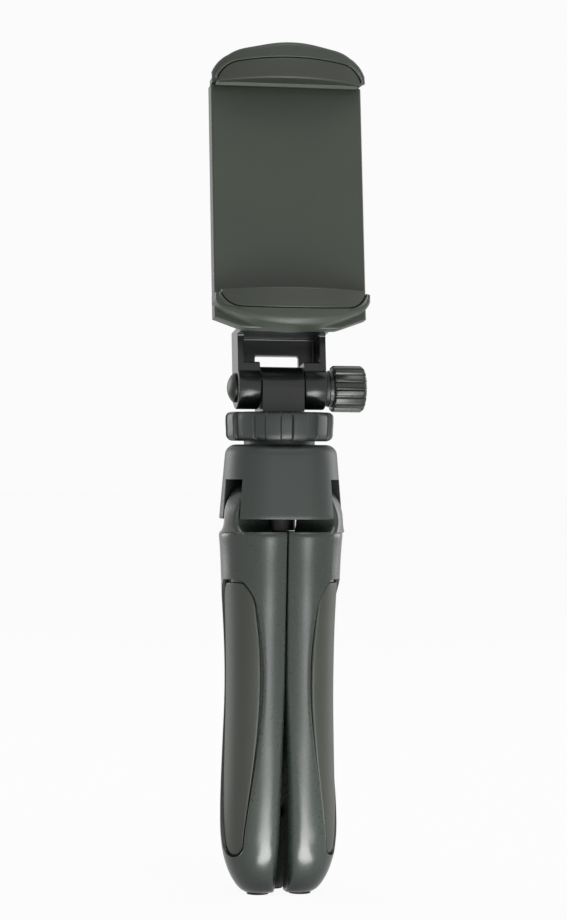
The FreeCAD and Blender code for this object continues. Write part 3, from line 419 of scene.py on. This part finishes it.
def neck_skin():
    """The hinge neck: rings of a rounded oblong whose outer end follows the leg's side below, flares into the
    shoulder and closes over the hinge above, where its half-width also draws in."""
    z = np.concatenate([[103.5], np.linspace(104, 110, 13), np.linspace(110.5, 119, 18),
                        [119.3, 119.6, 119.8, 119.92, 119.98]])[:, None]
    pivot = HINGE_OUT - LEG_AXIS
    outer = smooth_line(z, [(103.5, 12.2), (105.6, 12.7), (107.2, 12.85), (110, 12.8), (112.5, 12.4),
                            (115, 11.5), (117.4, 10.1), (119.2, 8.5), (120, 7.2)])
    cap = np.sqrt(np.maximum(1 - ((np.maximum(z, 115) - 115) / 5.0) ** 2, 0))
    inner = np.where(z > 115, pivot - 4.95 * cap, smooth_line(z, [(103.5, -0.5), (109.9, -0.5), (110.6, 1.95),
                                                                 (115, 1.95)]))
    half = smooth_line(z, [(103.5, 7.0), (105.2, 6.2), (106.8, 4.6), (108.6, 3.3), (114, 3.25), (117, 3.05),
                           (119, 2.6), (120, 2.2)])
    corner = np.minimum(smooth_line(z, [(103.5, 2.8), (108.6, 1.5), (114, 1.1), (120, 0.9)]),
                        (outer - inner) / 2 * 0.9)
    a = np.linspace(0, math.pi / 2, 7)[None, :]
    right = np.concatenate([outer - corner + corner * np.cos(a), inner + corner - corner * np.sin(a)], 1)
    up = np.concatenate([half - corner + corner * np.sin(a), half - corner + corner * np.cos(a)], 1)
    x = np.concatenate([right, right[:, ::-1]], 1)
    y = np.concatenate([up, -up[:, ::-1]], 1)
    # the flare stays inside the leg's own side
    within = np.where(z < 106.3, (leg_radius(np.minimum(z, 105.6)) - 0.04) / np.hypot(x, y), 1.0)
    x, y = x * np.minimum(within, 1), y * np.minimum(within, 1)
    grid = np.stack([x, y, np.broadcast_to(z, x.shape)], -1)
    return np.concatenate([folded(grid[0]), grid, folded(grid[-1])])


def grip_skin():
    """Closed rings up the rubber grip: its back on the recess's floor, its face a little below the leg's
    side, with rounded edges, and its two ends rounded down to the floor. The top end lies a little below the
    recess's, so the groove is wider there."""
    round_off = 0.55
    high, low = GRIP_HIGH - 0.45, GRIP_LOW
    a = np.linspace(0, math.pi / 2, 6)
    ends = round_off * (1 - np.cos(a))
    z = np.concatenate([low + ends + 0.02, low + np.linspace(0.1, 3.2, 12), high - ends,
                        np.linspace(low + 1, high - 1, 90)])
    z = np.unique(np.round(z, 4))[:, None]
    radius = leg_radius(z)
    face = radius - GRIP_SET_BACK
    back = radius - GRIP_SINK + 0.03
    near = np.minimum(z - low, high - z)
    drop = round_off - np.sqrt(np.maximum(round_off ** 2 - np.maximum(round_off - near, 0) ** 2, 0))
    face = face - drop
    half = grip_half_width(z, 0.0)
    r = np.minimum(round_off, (face - back) * 0.9)
    s = np.linspace(0, 1, 9)[None, :]
    arc_r = face - r + r * np.sin(a)[None, :]
    arc_h = half - r + r * np.cos(a)[None, :]
    turn_edge = np.arcsin(np.clip(arc_h / radius, -1, 1))
    over = turn_edge[:, -1:] * (1 - s[:, 1:])
    side_turn = np.concatenate([np.arcsin(half / radius) * s[:, :-1], turn_edge, over], 1)
    run = (len(z), len(s[0]) - 1)
    side_r = np.concatenate([np.broadcast_to(back, run), arc_r, np.broadcast_to(face, run)], 1)
    x, y = side_r * np.cos(side_turn), side_r * np.sin(side_turn)
    x = np.concatenate([x, x[:, -2:0:-1]], 1)
    y = np.concatenate([y, -y[:, -2:0:-1]], 1)
    grid = np.stack([x, y, np.broadcast_to(z, x.shape)], -1)
    # each end ring is pressed onto the recess's floor and folded onto its own mirror
    first, last = grid[0].copy(), grid[-1].copy()
    for flat in (first, last):
        flat[:, 0] = np.cos(np.arctan2(flat[:, 1], flat[:, 0])) * (np.hypot(flat[:, 0], flat[:, 1]).min())
    mirror = (-np.arange(grid.shape[1])) % grid.shape[1]
    first, last = (first + first[mirror]) / 2, (last + last[mirror]) / 2
    return np.concatenate([first[None], grid, last[None]])


leg_grid, neck_grid, grip_grid = leg_skin(), neck_skin(), grip_skin()
for number, turn in enumerate(LEG_TURNS, start=1):
    piece(f"leg_{number}_moulding", [from_leg(leg_grid, turn), from_leg(neck_grid, turn)], leg_abs,
          f"leg_{number}", [f"leg_{number}"])
    piece(f"grip_{number}_rubber", [from_leg(grip_grid, turn)], grip_tpe, f"leg_{number}",
          [f"grip_{number}"])


# Hub: a rounded triangle in plan that narrows upwards, with a slot for each leg's neck

HUB_LOW, SLOT_HIGH, HUB_HIGH = 110.2, 121.8, 132.0


def hub_skin():
    """Closed rings of the hub. Half a third of a ring runs from the middle of a slot, along the slot's wall,
    round the corner and to the middle of the flat; it is mirrored, and the third is turned to make the
    whole. Above the slots the same columns lie on the corner's arc. The corner's radius shrinks with height
    and is rounded off on top."""
    # the corners' centre, radius at the foot and draft in degrees, the slots and the plug's mouth
    round_top, centre, corner_foot, draft = 2.9, 5.5, 13.45, 4.8
    inner, half, mouth, mouth_top = 7.6, 3.6, 5.82, 112.0
    a = np.linspace(0, math.pi / 2, 10)
    slot_rings = [HUB_LOW, HUB_LOW + 0.12, HUB_LOW + 0.4, *np.linspace(111.5, SLOT_HIGH, 9)]
    whole_rings = [SLOT_HIGH, *np.linspace(SLOT_HIGH + 0.6, HUB_HIGH - round_top, 9)]
    z = np.concatenate([slot_rings, whole_rings, HUB_HIGH - round_top + round_top * np.sin(a[1:])])
    inset = np.zeros(len(z))
    inset[:2] = 0.4, 0.12
    inset[len(slot_rings) + len(whole_rings):] = round_top * (1 - np.cos(a[1:]))
    slotted = (np.arange(len(z)) < len(slot_rings))[:, None]
    rho = (corner_foot - (z - HUB_LOW) * math.tan(math.radians(draft)) - inset)[:, None]
    lip = np.arcsin((half + 0.25) / rho)
    t = np.linspace(0, 1, 15)[None, :]
    sweep = lip + (math.radians(60) - lip) * t
    arc_x, arc_y = centre + rho * np.cos(sweep), rho * np.sin(sweep)
    wall_x = centre + np.sqrt(rho ** 2 - half ** 2)
    flat = np.ones_like(rho)
    wall = [(inner * flat, 0 * flat), (inner * flat, half * flat), (wall_x - 4, half * flat),
            (wall_x - 0.25, half * flat)]
    plain = [(centre + rho * np.cos(lip * part), rho * np.sin(lip * part)) for part in (0, 0.35, 0.65, 0.9)]
    slot_x = np.concatenate([np.where(slotted, w[0], p[0]) for w, p in zip(wall, plain)], 1)
    slot_y = np.concatenate([np.where(slotted, w[1], p[1]) for w, p in zip(wall, plain)], 1)
    middle_of_flat = centre / 2 + rho
    f = np.linspace(0, 1, 5)[None, 1:]
    flat_x = arc_x[:, -1:] + (middle_of_flat * 0.5 - arc_x[:, -1:]) * f
    flat_y = arc_y[:, -1:] + (middle_of_flat * math.sqrt(0.75) - arc_y[:, -1:]) * f
    half_x, half_y = np.concatenate([slot_x, arc_x, flat_x], 1), np.concatenate([slot_y, arc_y, flat_y], 1)
    x = np.concatenate([half_x[:, ::-1], half_x[:, 1:-1]], 1)
    y = np.concatenate([-half_y[:, ::-1], half_y[:, 1:-1]], 1)
    # underside: from the slots' inner ends in to the plug's mouth, up its wall and across
    slot_column = half_x.shape[1] - 1
    column = np.arange(x.shape[1]) - slot_column
    away = np.abs(column)
    slot_turn = math.atan2(half, inner)
    share = np.clip((away - 3) / (slot_column - 3), 0, 1)
    angle = np.where(away <= 1, away * slot_turn, slot_turn + (math.pi / 3 - slot_turn) * share)
    angle *= np.sign(column)
    shelf = np.where(away <= 1, np.hypot(inner, half * away), math.hypot(inner, half))
    rings = [(0 * shelf, mouth_top), (0 * shelf + mouth, mouth_top), (0 * shelf + mouth, HUB_LOW),
             (shelf, HUB_LOW)]
    under = [np.stack([r * np.cos(angle), r * np.sin(angle), np.full(len(r), h)], -1) for r, h in rings]
    body = np.stack([x, y, np.broadcast_to(z[:, None], x.shape)], -1)
    top = body[-1] * (0, 0, 1)
    third = np.concatenate([np.array(under), body, top[None]])
    return np.concatenate([turned_by(third, turn) for turn in LEG_TURNS], 1) + COLUMN


piece("hub_moulding", [hub_skin()], hub_abs, "hub", ["hub_housing"])


# Lock wheel and tilt knob: a turned profile whose radius also depends on the angle


def turned(profile, turns, dip):
    """Profile (radius, height) points carried round the turns; dip(turn) is taken off the radius where the
    profile is near its widest, in proportion."""
    radius, height = np.array(profile, float).T
    widest = radius.max()
    share = np.clip((radius / widest - 0.8) / 0.08, 0, 1)
    r = radius[:, None] - share[:, None] * dip[None, :]
    return np.stack([r * np.cos(turns), r * np.sin(turns), np.broadcast_to(height[:, None], r.shape)], -1)


def quarter(centre_r, centre_z, radius, start, end, steps):
    """Points on an arc of a profile, angles in degrees from the radius direction."""
    a = np.radians(np.linspace(start, end, steps))
    return [(centre_r + radius * math.cos(t), centre_z + radius * math.sin(t)) for t in a]


WHEEL_LOW, WHEEL_HIGH, WHEEL_R = 133.1, 141.6, 16.0
# the hollow under the wheel, from its boss out to its rim
BOSS_R, RIM_R, HOLLOW_TOP = 6.4, 12.6, 138.6
# twelve lobes with gaps between: a gap's half-width and the width of its wall, in degrees, its depth, and how
# far round the wheel stands
GAP_HALF, GAP_WALL, GAP_DEEP, WHEEL_STAND = 7.6, 2.2, 1.05, -2.5
# degrees from a gap's middle at which the rim has its points, close together on the gap's wall
lobe = np.array([0, 2, 4, 5.2, 5.7, 6.2, 6.7, 7.2, 7.7, 8.6, 10.5, 12.5])
lobe = np.concatenate([lobe, 30 - lobe[::-1]])[:-1]
wheel_turns = (np.arange(12)[:, None] * 30 + np.unique(np.round(lobe, 3))[None, :]).ravel()
off_gap = np.abs((wheel_turns + 15) % 30 - 15)
step = np.clip((GAP_HALF - off_gap) / GAP_WALL, 0, 1)
wheel_dip = GAP_DEEP * step * step * (3 - 2 * step)
wheel_profile = ([(0, WHEEL_LOW), (BOSS_R, WHEEL_LOW), (BOSS_R, HOLLOW_TOP), (RIM_R, HOLLOW_TOP),
                  (RIM_R, WHEEL_LOW + 0.2), (RIM_R + 0.8, WHEEL_LOW)]
                 + quarter(WHEEL_R - 2.15, WHEEL_LOW + 2.0, 2.0, -85, -5, 7)
                 + [(WHEEL_R - 0.15, WHEEL_LOW + 3), (WHEEL_R, WHEEL_HIGH - 3.2)]
                 + quarter(WHEEL_R - 1.6, WHEEL_HIGH - 1.6, 1.6, 5, 88, 7)
                 + [(RIM_R, WHEEL_HIGH), (0, WHEEL_HIGH)])
wheel_grid = turned(wheel_profile, np.radians(wheel_turns + WHEEL_STAND), wheel_dip)
piece("lock_wheel_moulding", [wheel_grid + COLUMN], hub_abs, "wheel", ["lock_wheel"])

# eighteen narrow flutes between broader ridges: a flute's share of its 20 degrees, and its depth
KNOB_LOW, KNOB_R = 14.4, 6.9
KNOB_HIGH = KNOB_LOW + 10.8
KNOB_NECK_R = 5.45
FLUTE_SHARE, FLUTE_DEEP = 0.45, 0.6
knob_turns = np.arange(0, 360, 20 / 12)
off_flute = np.abs(((knob_turns + 10) % 20) - 10) / 10
knob_dip = FLUTE_DEEP * np.clip(1 - (off_flute / FLUTE_SHARE) ** 2, 0, 1) ** 0.6
knob_profile = ([(0, KNOB_LOW), (KNOB_NECK_R - 0.15, KNOB_LOW), (KNOB_NECK_R, KNOB_LOW + 0.1),
                 (KNOB_NECK_R, KNOB_LOW + 1.1)]
                + quarter(KNOB_R - 0.7, KNOB_LOW + 1.8, 0.7, -85, 0, 5)
                + quarter(KNOB_R - 1.3, KNOB_HIGH - 1.3, 1.3, 0, 88, 7) + [(3.0, KNOB_HIGH), (0, KNOB_HIGH)])
knob_grid = turned(knob_profile, np.radians(knob_turns), knob_dip)
piece("tilt_knob_moulding", [from_axle(knob_grid)], knob_abs, "knob", ["tilt_knob"])


# Clamp: plate, jaws and pads, in the clamp's own frame

PLATE_FRONT, PLATE_BACK, PLATE_LOW, PLATE_HIGH, PLATE_HALF = -19.0, -14.0, 14.4, 86.9, 22.45
JAW_FRONT = PLATE_FRONT - 11.0
# a jaw's front is bowed: this deep at this distance from the middle, just past its ends
JAW_BOW, BOW_HALF = 7.0, 23.8
BOW_RADIUS = (JAW_BOW ** 2 + BOW_HALF ** 2) / (2 * JAW_BOW)
# heights of the pads' faces
LOWER_LIP, UPPER_LIP = 24.7, 86.1


def plate_skin():
    """Closed rings up the plate: back with the slide's channel let in, rounded corners, sides and front. The
    half-width grows over the cut-off bottom corners, and every ring draws in near the two ends."""
    edge, soft, channel_half, channel_deep, channel_low = 0.75, 0.6, 15.2, 2.4, 39
    cut_high, cut_wide = 3.1, 8.6
    a = np.linspace(0, math.pi / 2, 6)
    rise = soft * (1 - np.cos(a))
    z = np.concatenate([PLATE_LOW + rise, np.linspace(PLATE_LOW + 1, PLATE_LOW + cut_high, 5),
                        PLATE_LOW + cut_high + np.array([0.15, 0.4, 0.9]),
                        [30, channel_low, channel_low, 45, 55, 65, 75, 84], PLATE_HIGH - rise[::-1]])[:, None]
    near = np.minimum(z - PLATE_LOW, PLATE_HIGH - z)
    inset = soft - np.sqrt(np.maximum(soft ** 2 - np.maximum(soft - near, 0) ** 2, 0))
    half = PLATE_HALF - cut_wide * np.clip(1 - (z - PLATE_LOW) / cut_high, 0, 1) - inset * 0.8
    front, back = PLATE_FRONT + inset, PLATE_BACK - inset
    # of the two rings at the channel's low end, the first is whole and the second cut
    cut = np.arange(len(z))[:, None] > np.argmax(z[:, 0] == channel_low)
    floor = np.where(cut, PLATE_BACK - channel_deep, back)
    q = np.sin(a)[None, :] * edge
    p = edge - np.cos(a)[None, :] * edge
    ones = np.ones((len(z), 1))
    x = np.concatenate([0 * ones, 7 * ones, channel_half * ones, channel_half * ones,
                        channel_half * ones + 0.3, half - edge - 0.4, half - edge + q,
                        half - edge + q[:, ::-1], half - edge - 0.4, half * 0.5, 0 * ones], 1)
    y = np.concatenate([floor, floor, floor, np.where(cut, back - 0.25, back), back, back, back - p,
                        front + p[:, ::-1], front, front, front], 1)
    narrow = half < channel_half + 1.8
    x[:, 1:5] = np.where(narrow, x[:, 1:5] * (half - edge - 0.6) / (channel_half + 0.3), x[:, 1:5])
    x, y = np.concatenate([x, -x[:, -2:0:-1]], 1), np.concatenate([y, y[:, -2:0:-1]], 1)
    grid = np.stack([x, y, np.broadcast_to(z, x.shape)], -1)
    first, last = (folded(ring, (ring[:, 1].min() + ring[:, 1].max()) / 2) for ring in (grid[0], grid[-1]))
    return np.concatenate([first, grid, last])


def jaw_half(lip, half, end, shoulder_half, shoulder, depth, bulge):
    """Right half of a jaw's outline as (across, outwards from the lip): the side at its half-width from the
    lip to its end, a round corner that bulges on its way to the shoulder, and a low arch up to its depth."""
    side = np.stack([np.full(4, half), np.linspace(lip, end, 4)], -1)
    corner = three_point_arc((half, end), ((half + shoulder_half) / 2 + bulge, (end + shoulder) / 2 + bulge),
                             (shoulder_half, shoulder), 8)
    arch = three_point_arc((shoulder_half, shoulder), (0, depth), (-shoulder_half, shoulder), 49)[:25]
    return np.concatenate([side[:-1], corner[:-1], arch])


def shell_line(lip, upper):
    """Right half of a shell's outline: as the solid's, the upper one with its shoulder filled out by
    exp(-((|x| - 16.5) / 4.8)^2) millimetres, which fades out towards the lip."""
    line = jaw_half(lip, half=22.8, end=3.0, shoulder_half=18.2, shoulder=6.9, depth=11.0, bulge=0.5)
    if upper:
        fuller = np.exp(-((np.abs(line[:, 0]) - 16.5) / 4.8) ** 2)
        line[:, 1] += fuller * np.clip((line[:, 1] - 2.5) / 3, 0, 1)
    return line


def outward(points):
    """Unit normals of an open outline, to the left of its run."""
    run = np.gradient(points, axis=0)
    run /= np.linalg.norm(run, axis=1, keepdims=True)
    return np.stack([run[:, 1], -run[:, 0]], -1)


def bow(x):
    """How far the jaw's front draws back at a place across: R - sqrt(R^2 - x^2)."""
    return BOW_RADIUS - np.sqrt(BOW_RADIUS ** 2 - x ** 2)


def stand(points, depth, upper):
    """Outline points (across, outwards) at a depth, as points of the clamp for the upper or lower jaw."""
    height = UPPER_LIP + points[:, 1] if upper else LOWER_LIP - points[:, 1]
    return np.stack([points[:, 0], np.full(len(points), depth), height], -1)


def whole(half_line):
    """A right half outline joined to its mirror, from the right lip over the arch to the left lip."""
    return np.concatenate([half_line, half_line[-2::-1] * (-1, 1)])


def shell_skin(upper, back):
    """A jaw's shell: a band between the outer arch and the pad's seat, in rings from its back to its bowed
    front. The front rim is rounded broadly outside and slightly inside, and closes on the band's middle. The
    upper shell's outside tapers a little towards its back."""
    outer = whole(shell_line(0.8, upper))
    inner = whole(jaw_half(0.8, half=21.25, end=1.35, shoulder_half=14.95, shoulder=5.65, depth=6.35,
                           bulge=0.85))
    away_out, away_in = outward(outer), outward(inner)
    away_out *= np.sign((away_out * (outer - (0, 3))).sum(1, keepdims=True))
    away_in *= np.sign((away_in * (inner - (0, 1))).sum(1, keepdims=True))
    thick = np.linalg.norm(outer - inner, axis=1)
    broad = np.minimum(1.5 if upper else 3.0, thick * 0.5)[:, None]
    draft = outer - away_out * np.minimum(1.5, thick * 0.6)[:, None] if upper else outer
    slight = np.minimum(0.35, thick * 0.25)[:, None]
    centre = (outer - away_out * broad + inner + away_in * slight) / 2
    behind_bow = JAW_FRONT + JAW_BOW + 1.2
    rings = [(centre, centre, back, back), (draft, inner, back, back),
             ((draft + outer) / 2, inner, behind_bow, behind_bow)]
    for turn in np.linspace(0, math.pi / 2, 9):
        draw, fall = 1 - math.cos(turn), 1 - math.sin(turn)
        rings.append((outer - away_out * broad * draw, inner + away_in * slight * draw,
                      JAW_FRONT + bow(outer[:, 0]) + broad[:, 0] * fall,
                      JAW_FRONT + bow(inner[:, 0]) + slight[:, 0] * fall))
    last = JAW_FRONT + bow(centre[:, 0])
    rings.append((centre, centre, last, last))
    return np.array([np.concatenate([stand(out, out_at, upper), stand(within, in_at, upper)[::-1]])
                     for out, within, out_at, in_at in rings])


def pad_skin(upper):
    """A rubber pad: rings from its back, along the floor behind the lip, up the lip's step and round the
    lip's rounded front rim, which closes on the outline's middle line. The upper pad has a bead at the
    plate."""
    half, end, shoulder_half, shoulder, depth = 21.1, 1.2, 14.8, 5.5, 6.2
    arch = whole(jaw_half(0.0, half, end, shoulder_half, shoulder, depth, bulge=0.85))
    lip_run = np.stack([np.linspace(-half, half, 41)[1:-1], np.zeros(39)], -1)
    ring = np.concatenate([arch, lip_run])
    centre_x = ring[:, 0] * 0.97
    reach = np.interp(np.abs(centre_x), [0, shoulder_half, half], [depth, shoulder, end])
    centre = np.stack([centre_x, reach / 2], -1)
    pull = centre - ring
    pull /= np.maximum(np.linalg.norm(pull, axis=1, keepdims=True), 0.01)
    on_lip = ring[:, 1] < 1.0
    room = np.minimum(1, np.linalg.norm(centre - ring, axis=1) / 1.2)
    rim = (np.where(on_lip, 0.7, 0.5) * room)[:, None]
    sunk = ring.copy()
    sunk[:, 1] = np.maximum(sunk[:, 1], 0.8)
    step_at = JAW_FRONT + 5.4
    back = np.full(len(ring), PLATE_FRONT - 0.2)
    rows = [(centre, back)]
    if upper:
        rows += [((ring + sunk) / 2, back), (ring, back - 0.35), (ring, back - 1.0),
                 ((ring + sunk) / 2, back - 1.4)]
    rows += [(sunk, back - (1.8 if upper else 0.0)),
             (sunk, step_at + 0.2 + 0.3 * bow(ring[:, 0])), (ring, step_at + 0.3 * bow(ring[:, 0]))]
    for turn in np.linspace(0, math.pi / 2, 7):
        draw, fall = 1 - math.cos(turn), 1 - math.sin(turn)
        moved = ring + pull * rim * draw
        rows.append((moved, JAW_FRONT + 0.12 + bow(ring[:, 0]) + rim[:, 0] * fall))
    rows.append((centre, JAW_FRONT + 0.12 + bow(centre[:, 0])))
    return np.array([stand(points, at, upper) for points, at in rows])


def slab_skin(low, high, soft):
    """A box with rounded edges between two corners, as rings along its height: a rounded oblong that draws
    in at both ends."""
    low, high = np.array(low, float), np.array(high, float)
    a = np.linspace(0, math.pi / 2, 5)
    t = np.concatenate([low[2] + soft * (1 - np.cos(a)), high[2] - soft * (1 - np.cos(a[::-1]))])
    inset = np.concatenate([soft * (1 - np.sin(a)), soft * (1 - np.sin(a[::-1]))])
    # the slight turn keeps every point off the axes, so that each has a corner
    around = np.linspace(0, 2 * math.pi, 20, endpoint=False) + 0.01
    corner = np.stack([np.cos(around), np.sin(around)], -1)
    middle_xy, half = (low[:2] + high[:2]) / 2, (high[:2] - low[:2]) / 2
    rings = []
    for height, draw in zip(t, inset):
        flat = middle_xy + np.sign(corner) * (half - soft) + corner * (soft - draw)
        rings.append(np.concatenate([flat, np.full((len(flat), 1), height)], 1))
    rings = [rings[0] * (0, 0, 1) + (*middle_xy, 0)] + rings + [rings[-1] * (0, 0, 1) + (*middle_xy, 0)]
    return np.array(rings)


piece("clamp_plate_moulding", [from_clamp(plate_skin()), from_clamp(shell_skin(False, PLATE_FRONT + 2.5))],
      clamp_abs, "clamp", ["clamp_body"])
piece("lower_pad_rubber", [from_clamp(pad_skin(False))], pad_tpe, "clamp", ["lower_jaw_pad"])


def jaw_foot_skin():
    """The block of the upper jaw that stands on the plate's top: rings of its outline from front to back."""
    outer = whole(shell_line(1.0, True)) * (0.965, 0.83)
    outer[:, 1] = np.maximum(outer[:, 1], 1.0)
    away = outward(outer)
    away *= np.sign((away * (outer - (0, 3))).sum(1, keepdims=True))
    centre = outer * (0.9, 0) + (0, 2.6)
    rows = [(centre, PLATE_FRONT - 0.15), (outer, PLATE_FRONT - 0.15), (outer, PLATE_BACK - 1.0)]
    for turn in np.linspace(0, math.pi / 2, 6):
        rows.append((outer - away * (1 - math.cos(turn)) * 0.9, PLATE_BACK - 0.9 + 0.9 * math.sin(turn)))
    rows.append((centre, PLATE_BACK))
    return np.array([stand(points, depth, True) for points, depth in rows])


# the upper jaw: shell, foot, the tongue behind the plate and the hook that the springs hold
TONGUE_HALF, HOOK_HALF = 15, 8.2
upper_grids = [shell_skin(True, PLATE_FRONT - 0.15), jaw_foot_skin(),
               slab_skin((-TONGUE_HALF, PLATE_BACK - 2.2, 40.9), (TONGUE_HALF, PLATE_BACK - 0.2, 89.0), 0.3),
               slab_skin((-HOOK_HALF, PLATE_BACK - 1.2, 43.0), (HOOK_HALF, PLATE_BACK + 3.6, 45.0), 0.3)]
piece("upper_jaw_moulding", [from_clamp(grid) for grid in upper_grids], clamp_abs, "jaw", ["upper_jaw"])
piece("upper_pad_rubber", [from_clamp(pad_skin(True))], pad_tpe, "jaw", ["upper_jaw_pad"])


# Edges of the bracket, the block and the cover are softened as the mould leaves them, by so many millimetres

for name, width in (("tilt_bracket", 0.45), ("pan_block", 0.35), ("rear_cover", 0.3)):
    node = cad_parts[name]
    weld = node.modifiers.new("merge", "WELD")
    weld.merge_threshold = MERGE_UNDER * MM
    soften = node.modifiers.new("soften", "BEVEL")
    soften.width = width * MM
    soften.segments = 3
    soften.limit_method = "ANGLE"
    soften.angle_limit = math.radians(40)
    soften.harden_normals = True


# Floor, light and camera, in metres. The paper glows towards the camera and in reflections, and keeps a share
# of its own shade, which shows the object's shadow. The room is white to the camera and in reflections, and
# lights the object at less than half of that.

WHITE = "#fbfbfb"
GLOW_SHARE, ROOM_LIGHT = 0.93, 0.45
paper_material = bpy.data.materials.new("white_sweep_paper")
tree = emptied_tree(paper_material)
rays = add(tree, "ShaderNodeLightPath")
seen = add(tree, "ShaderNodeMath", {"operation": "MAXIMUM"}, _0=rays.outputs["Is Camera Ray"],
           _1=rays.outputs["Is Glossy Ray"])
paper = add(tree, "ShaderNodeBsdfDiffuse", Color=linear("#f4f4f4"))
glow = add(tree, "ShaderNodeEmission", Color=linear("#ffffff"), Strength=1.0)
mixed = add(tree, "ShaderNodeMixShader", _1=paper.outputs[0], _2=glow.outputs[0])
part_seen = add(tree, "ShaderNodeMath", {"operation": "MULTIPLY"}, _0=seen.outputs[0], _1=GLOW_SHARE)
tree.links.new(part_seen.outputs[0], mixed.inputs[0])
add(tree, "ShaderNodeOutputMaterial", Surface=mixed.outputs[0])
floor_mesh = bpy.data.meshes.new("floor_paper")
floor_mesh.from_pydata([(-6, -3, 0), (6, -3, 0), (6, 9, 0), (-6, 9, 0)], [], [(0, 1, 2, 3)])
floor_mesh.materials.append(paper_material)
floor = bpy.data.objects.new("floor_paper", floor_mesh)
bpy.context.scene.collection.objects.link(floor)

world = bpy.data.worlds.new("studio_white")
bpy.context.scene.world = world
tree = emptied_tree(world)
rays = add(tree, "ShaderNodeLightPath")
straight = add(tree, "ShaderNodeMath", {"operation": "MAXIMUM"}, _0=rays.outputs["Is Camera Ray"],
               _1=rays.outputs["Is Transmission Ray"])
seen = add(tree, "ShaderNodeMath", {"operation": "MAXIMUM"}, _0=straight.outputs[0],
           _1=rays.outputs["Is Glossy Ray"])
room = add(tree, "ShaderNodeBackground", Color=linear(WHITE), Strength=ROOM_LIGHT)
sky = add(tree, "ShaderNodeBackground", Color=linear(WHITE), Strength=1.0)
mixed = add(tree, "ShaderNodeMixShader", _0=seen.outputs[0], _1=room.outputs[0], _2=sky.outputs[0])
add(tree, "ShaderNodeOutputWorld", Surface=mixed.outputs[0])


def soft_light(name, place, aim, size, power):
    """An area lamp in metres and watts, turned to its aim."""
    lamp = bpy.data.lights.new(name, "AREA")
    lamp.shape = "RECTANGLE"
    lamp.size, lamp.size_y = size
    lamp.energy = power
    holder = bpy.data.objects.new(name, lamp)
    holder.visible_camera = False
    holder.location = place
    holder.rotation_mode = "QUATERNION"
    holder.rotation_quaternion = (Vector(place) - Vector(aim)).to_track_quat("Z", "Y")
    bpy.context.scene.collection.objects.link(holder)


# patches of brightly lit table in front of the object, which shows as light bands in the legs and the ears
for name, place, size, power in (
    ("table_front", (0.01, -0.18, 0.004), (0.065, 0.27), 0.55),
    ("table_near", (0.002, -0.034, 0.002), (0.03, 0.03), 0.04),
    ("table_far", (0.11, -0.52, 0.004), (0.15, 0.4), 1.3),
    ("table_right", (0.065, -0.265, 0.004), (0.05, 0.16), 0.3),
):
    soft_light(name, place, (*place[:2], 1.0), size, power)
# soft boxes at both sides and towards the back, for the light outer edges, and one above the front
soft_light("side_left", (-1.1, 0.95, 0.35), (0, 0, 0.12), (0.9, 0.8), 9.5)
soft_light("side_right", (1.4, 0.5, 0.35), (0, 0, 0.12), (0.9, 0.8), 8.0)
soft_light("lamp_above", (0.1, -0.45, 1.1), (0, 0, 0.13), (0.5, 0.5), 3.0)

# the camera looks level, from 11 degrees to the left of straight on, a little rolled. The picture is 920
# pixels high, with 3380 pixels to the metre at the column, and the sensor's size counts along the picture's
# height, of which the shift is a share.
SIGHT, ROLL = math.radians(-11.0), math.radians(-0.4)
DISTANCE, HEIGHT = 0.8, 0.1275
PICTURE_HIGH = 920 / 3380
SENSOR, SHIFT_ACROSS = 36, 0.0047
camera_data = bpy.data.cameras.new("camera")
camera = bpy.data.objects.new("camera", camera_data)
bpy.context.scene.collection.objects.link(camera)
bpy.context.scene.camera = camera
camera_data.lens = SENSOR * DISTANCE / PICTURE_HIGH
camera_data.sensor_width = SENSOR
camera.location = (COLUMN[0] * MM + DISTANCE * math.sin(SIGHT), COLUMN[1] * MM - DISTANCE * math.cos(SIGHT),
                   HEIGHT)
camera.rotation_euler = (math.pi / 2, ROLL, SIGHT)
camera_data.shift_x = SHIFT_ACROSS
camera_data.clip_start, camera_data.clip_end = 0.05, 30

bpy.context.scene.view_settings.view_transform = "Standard"
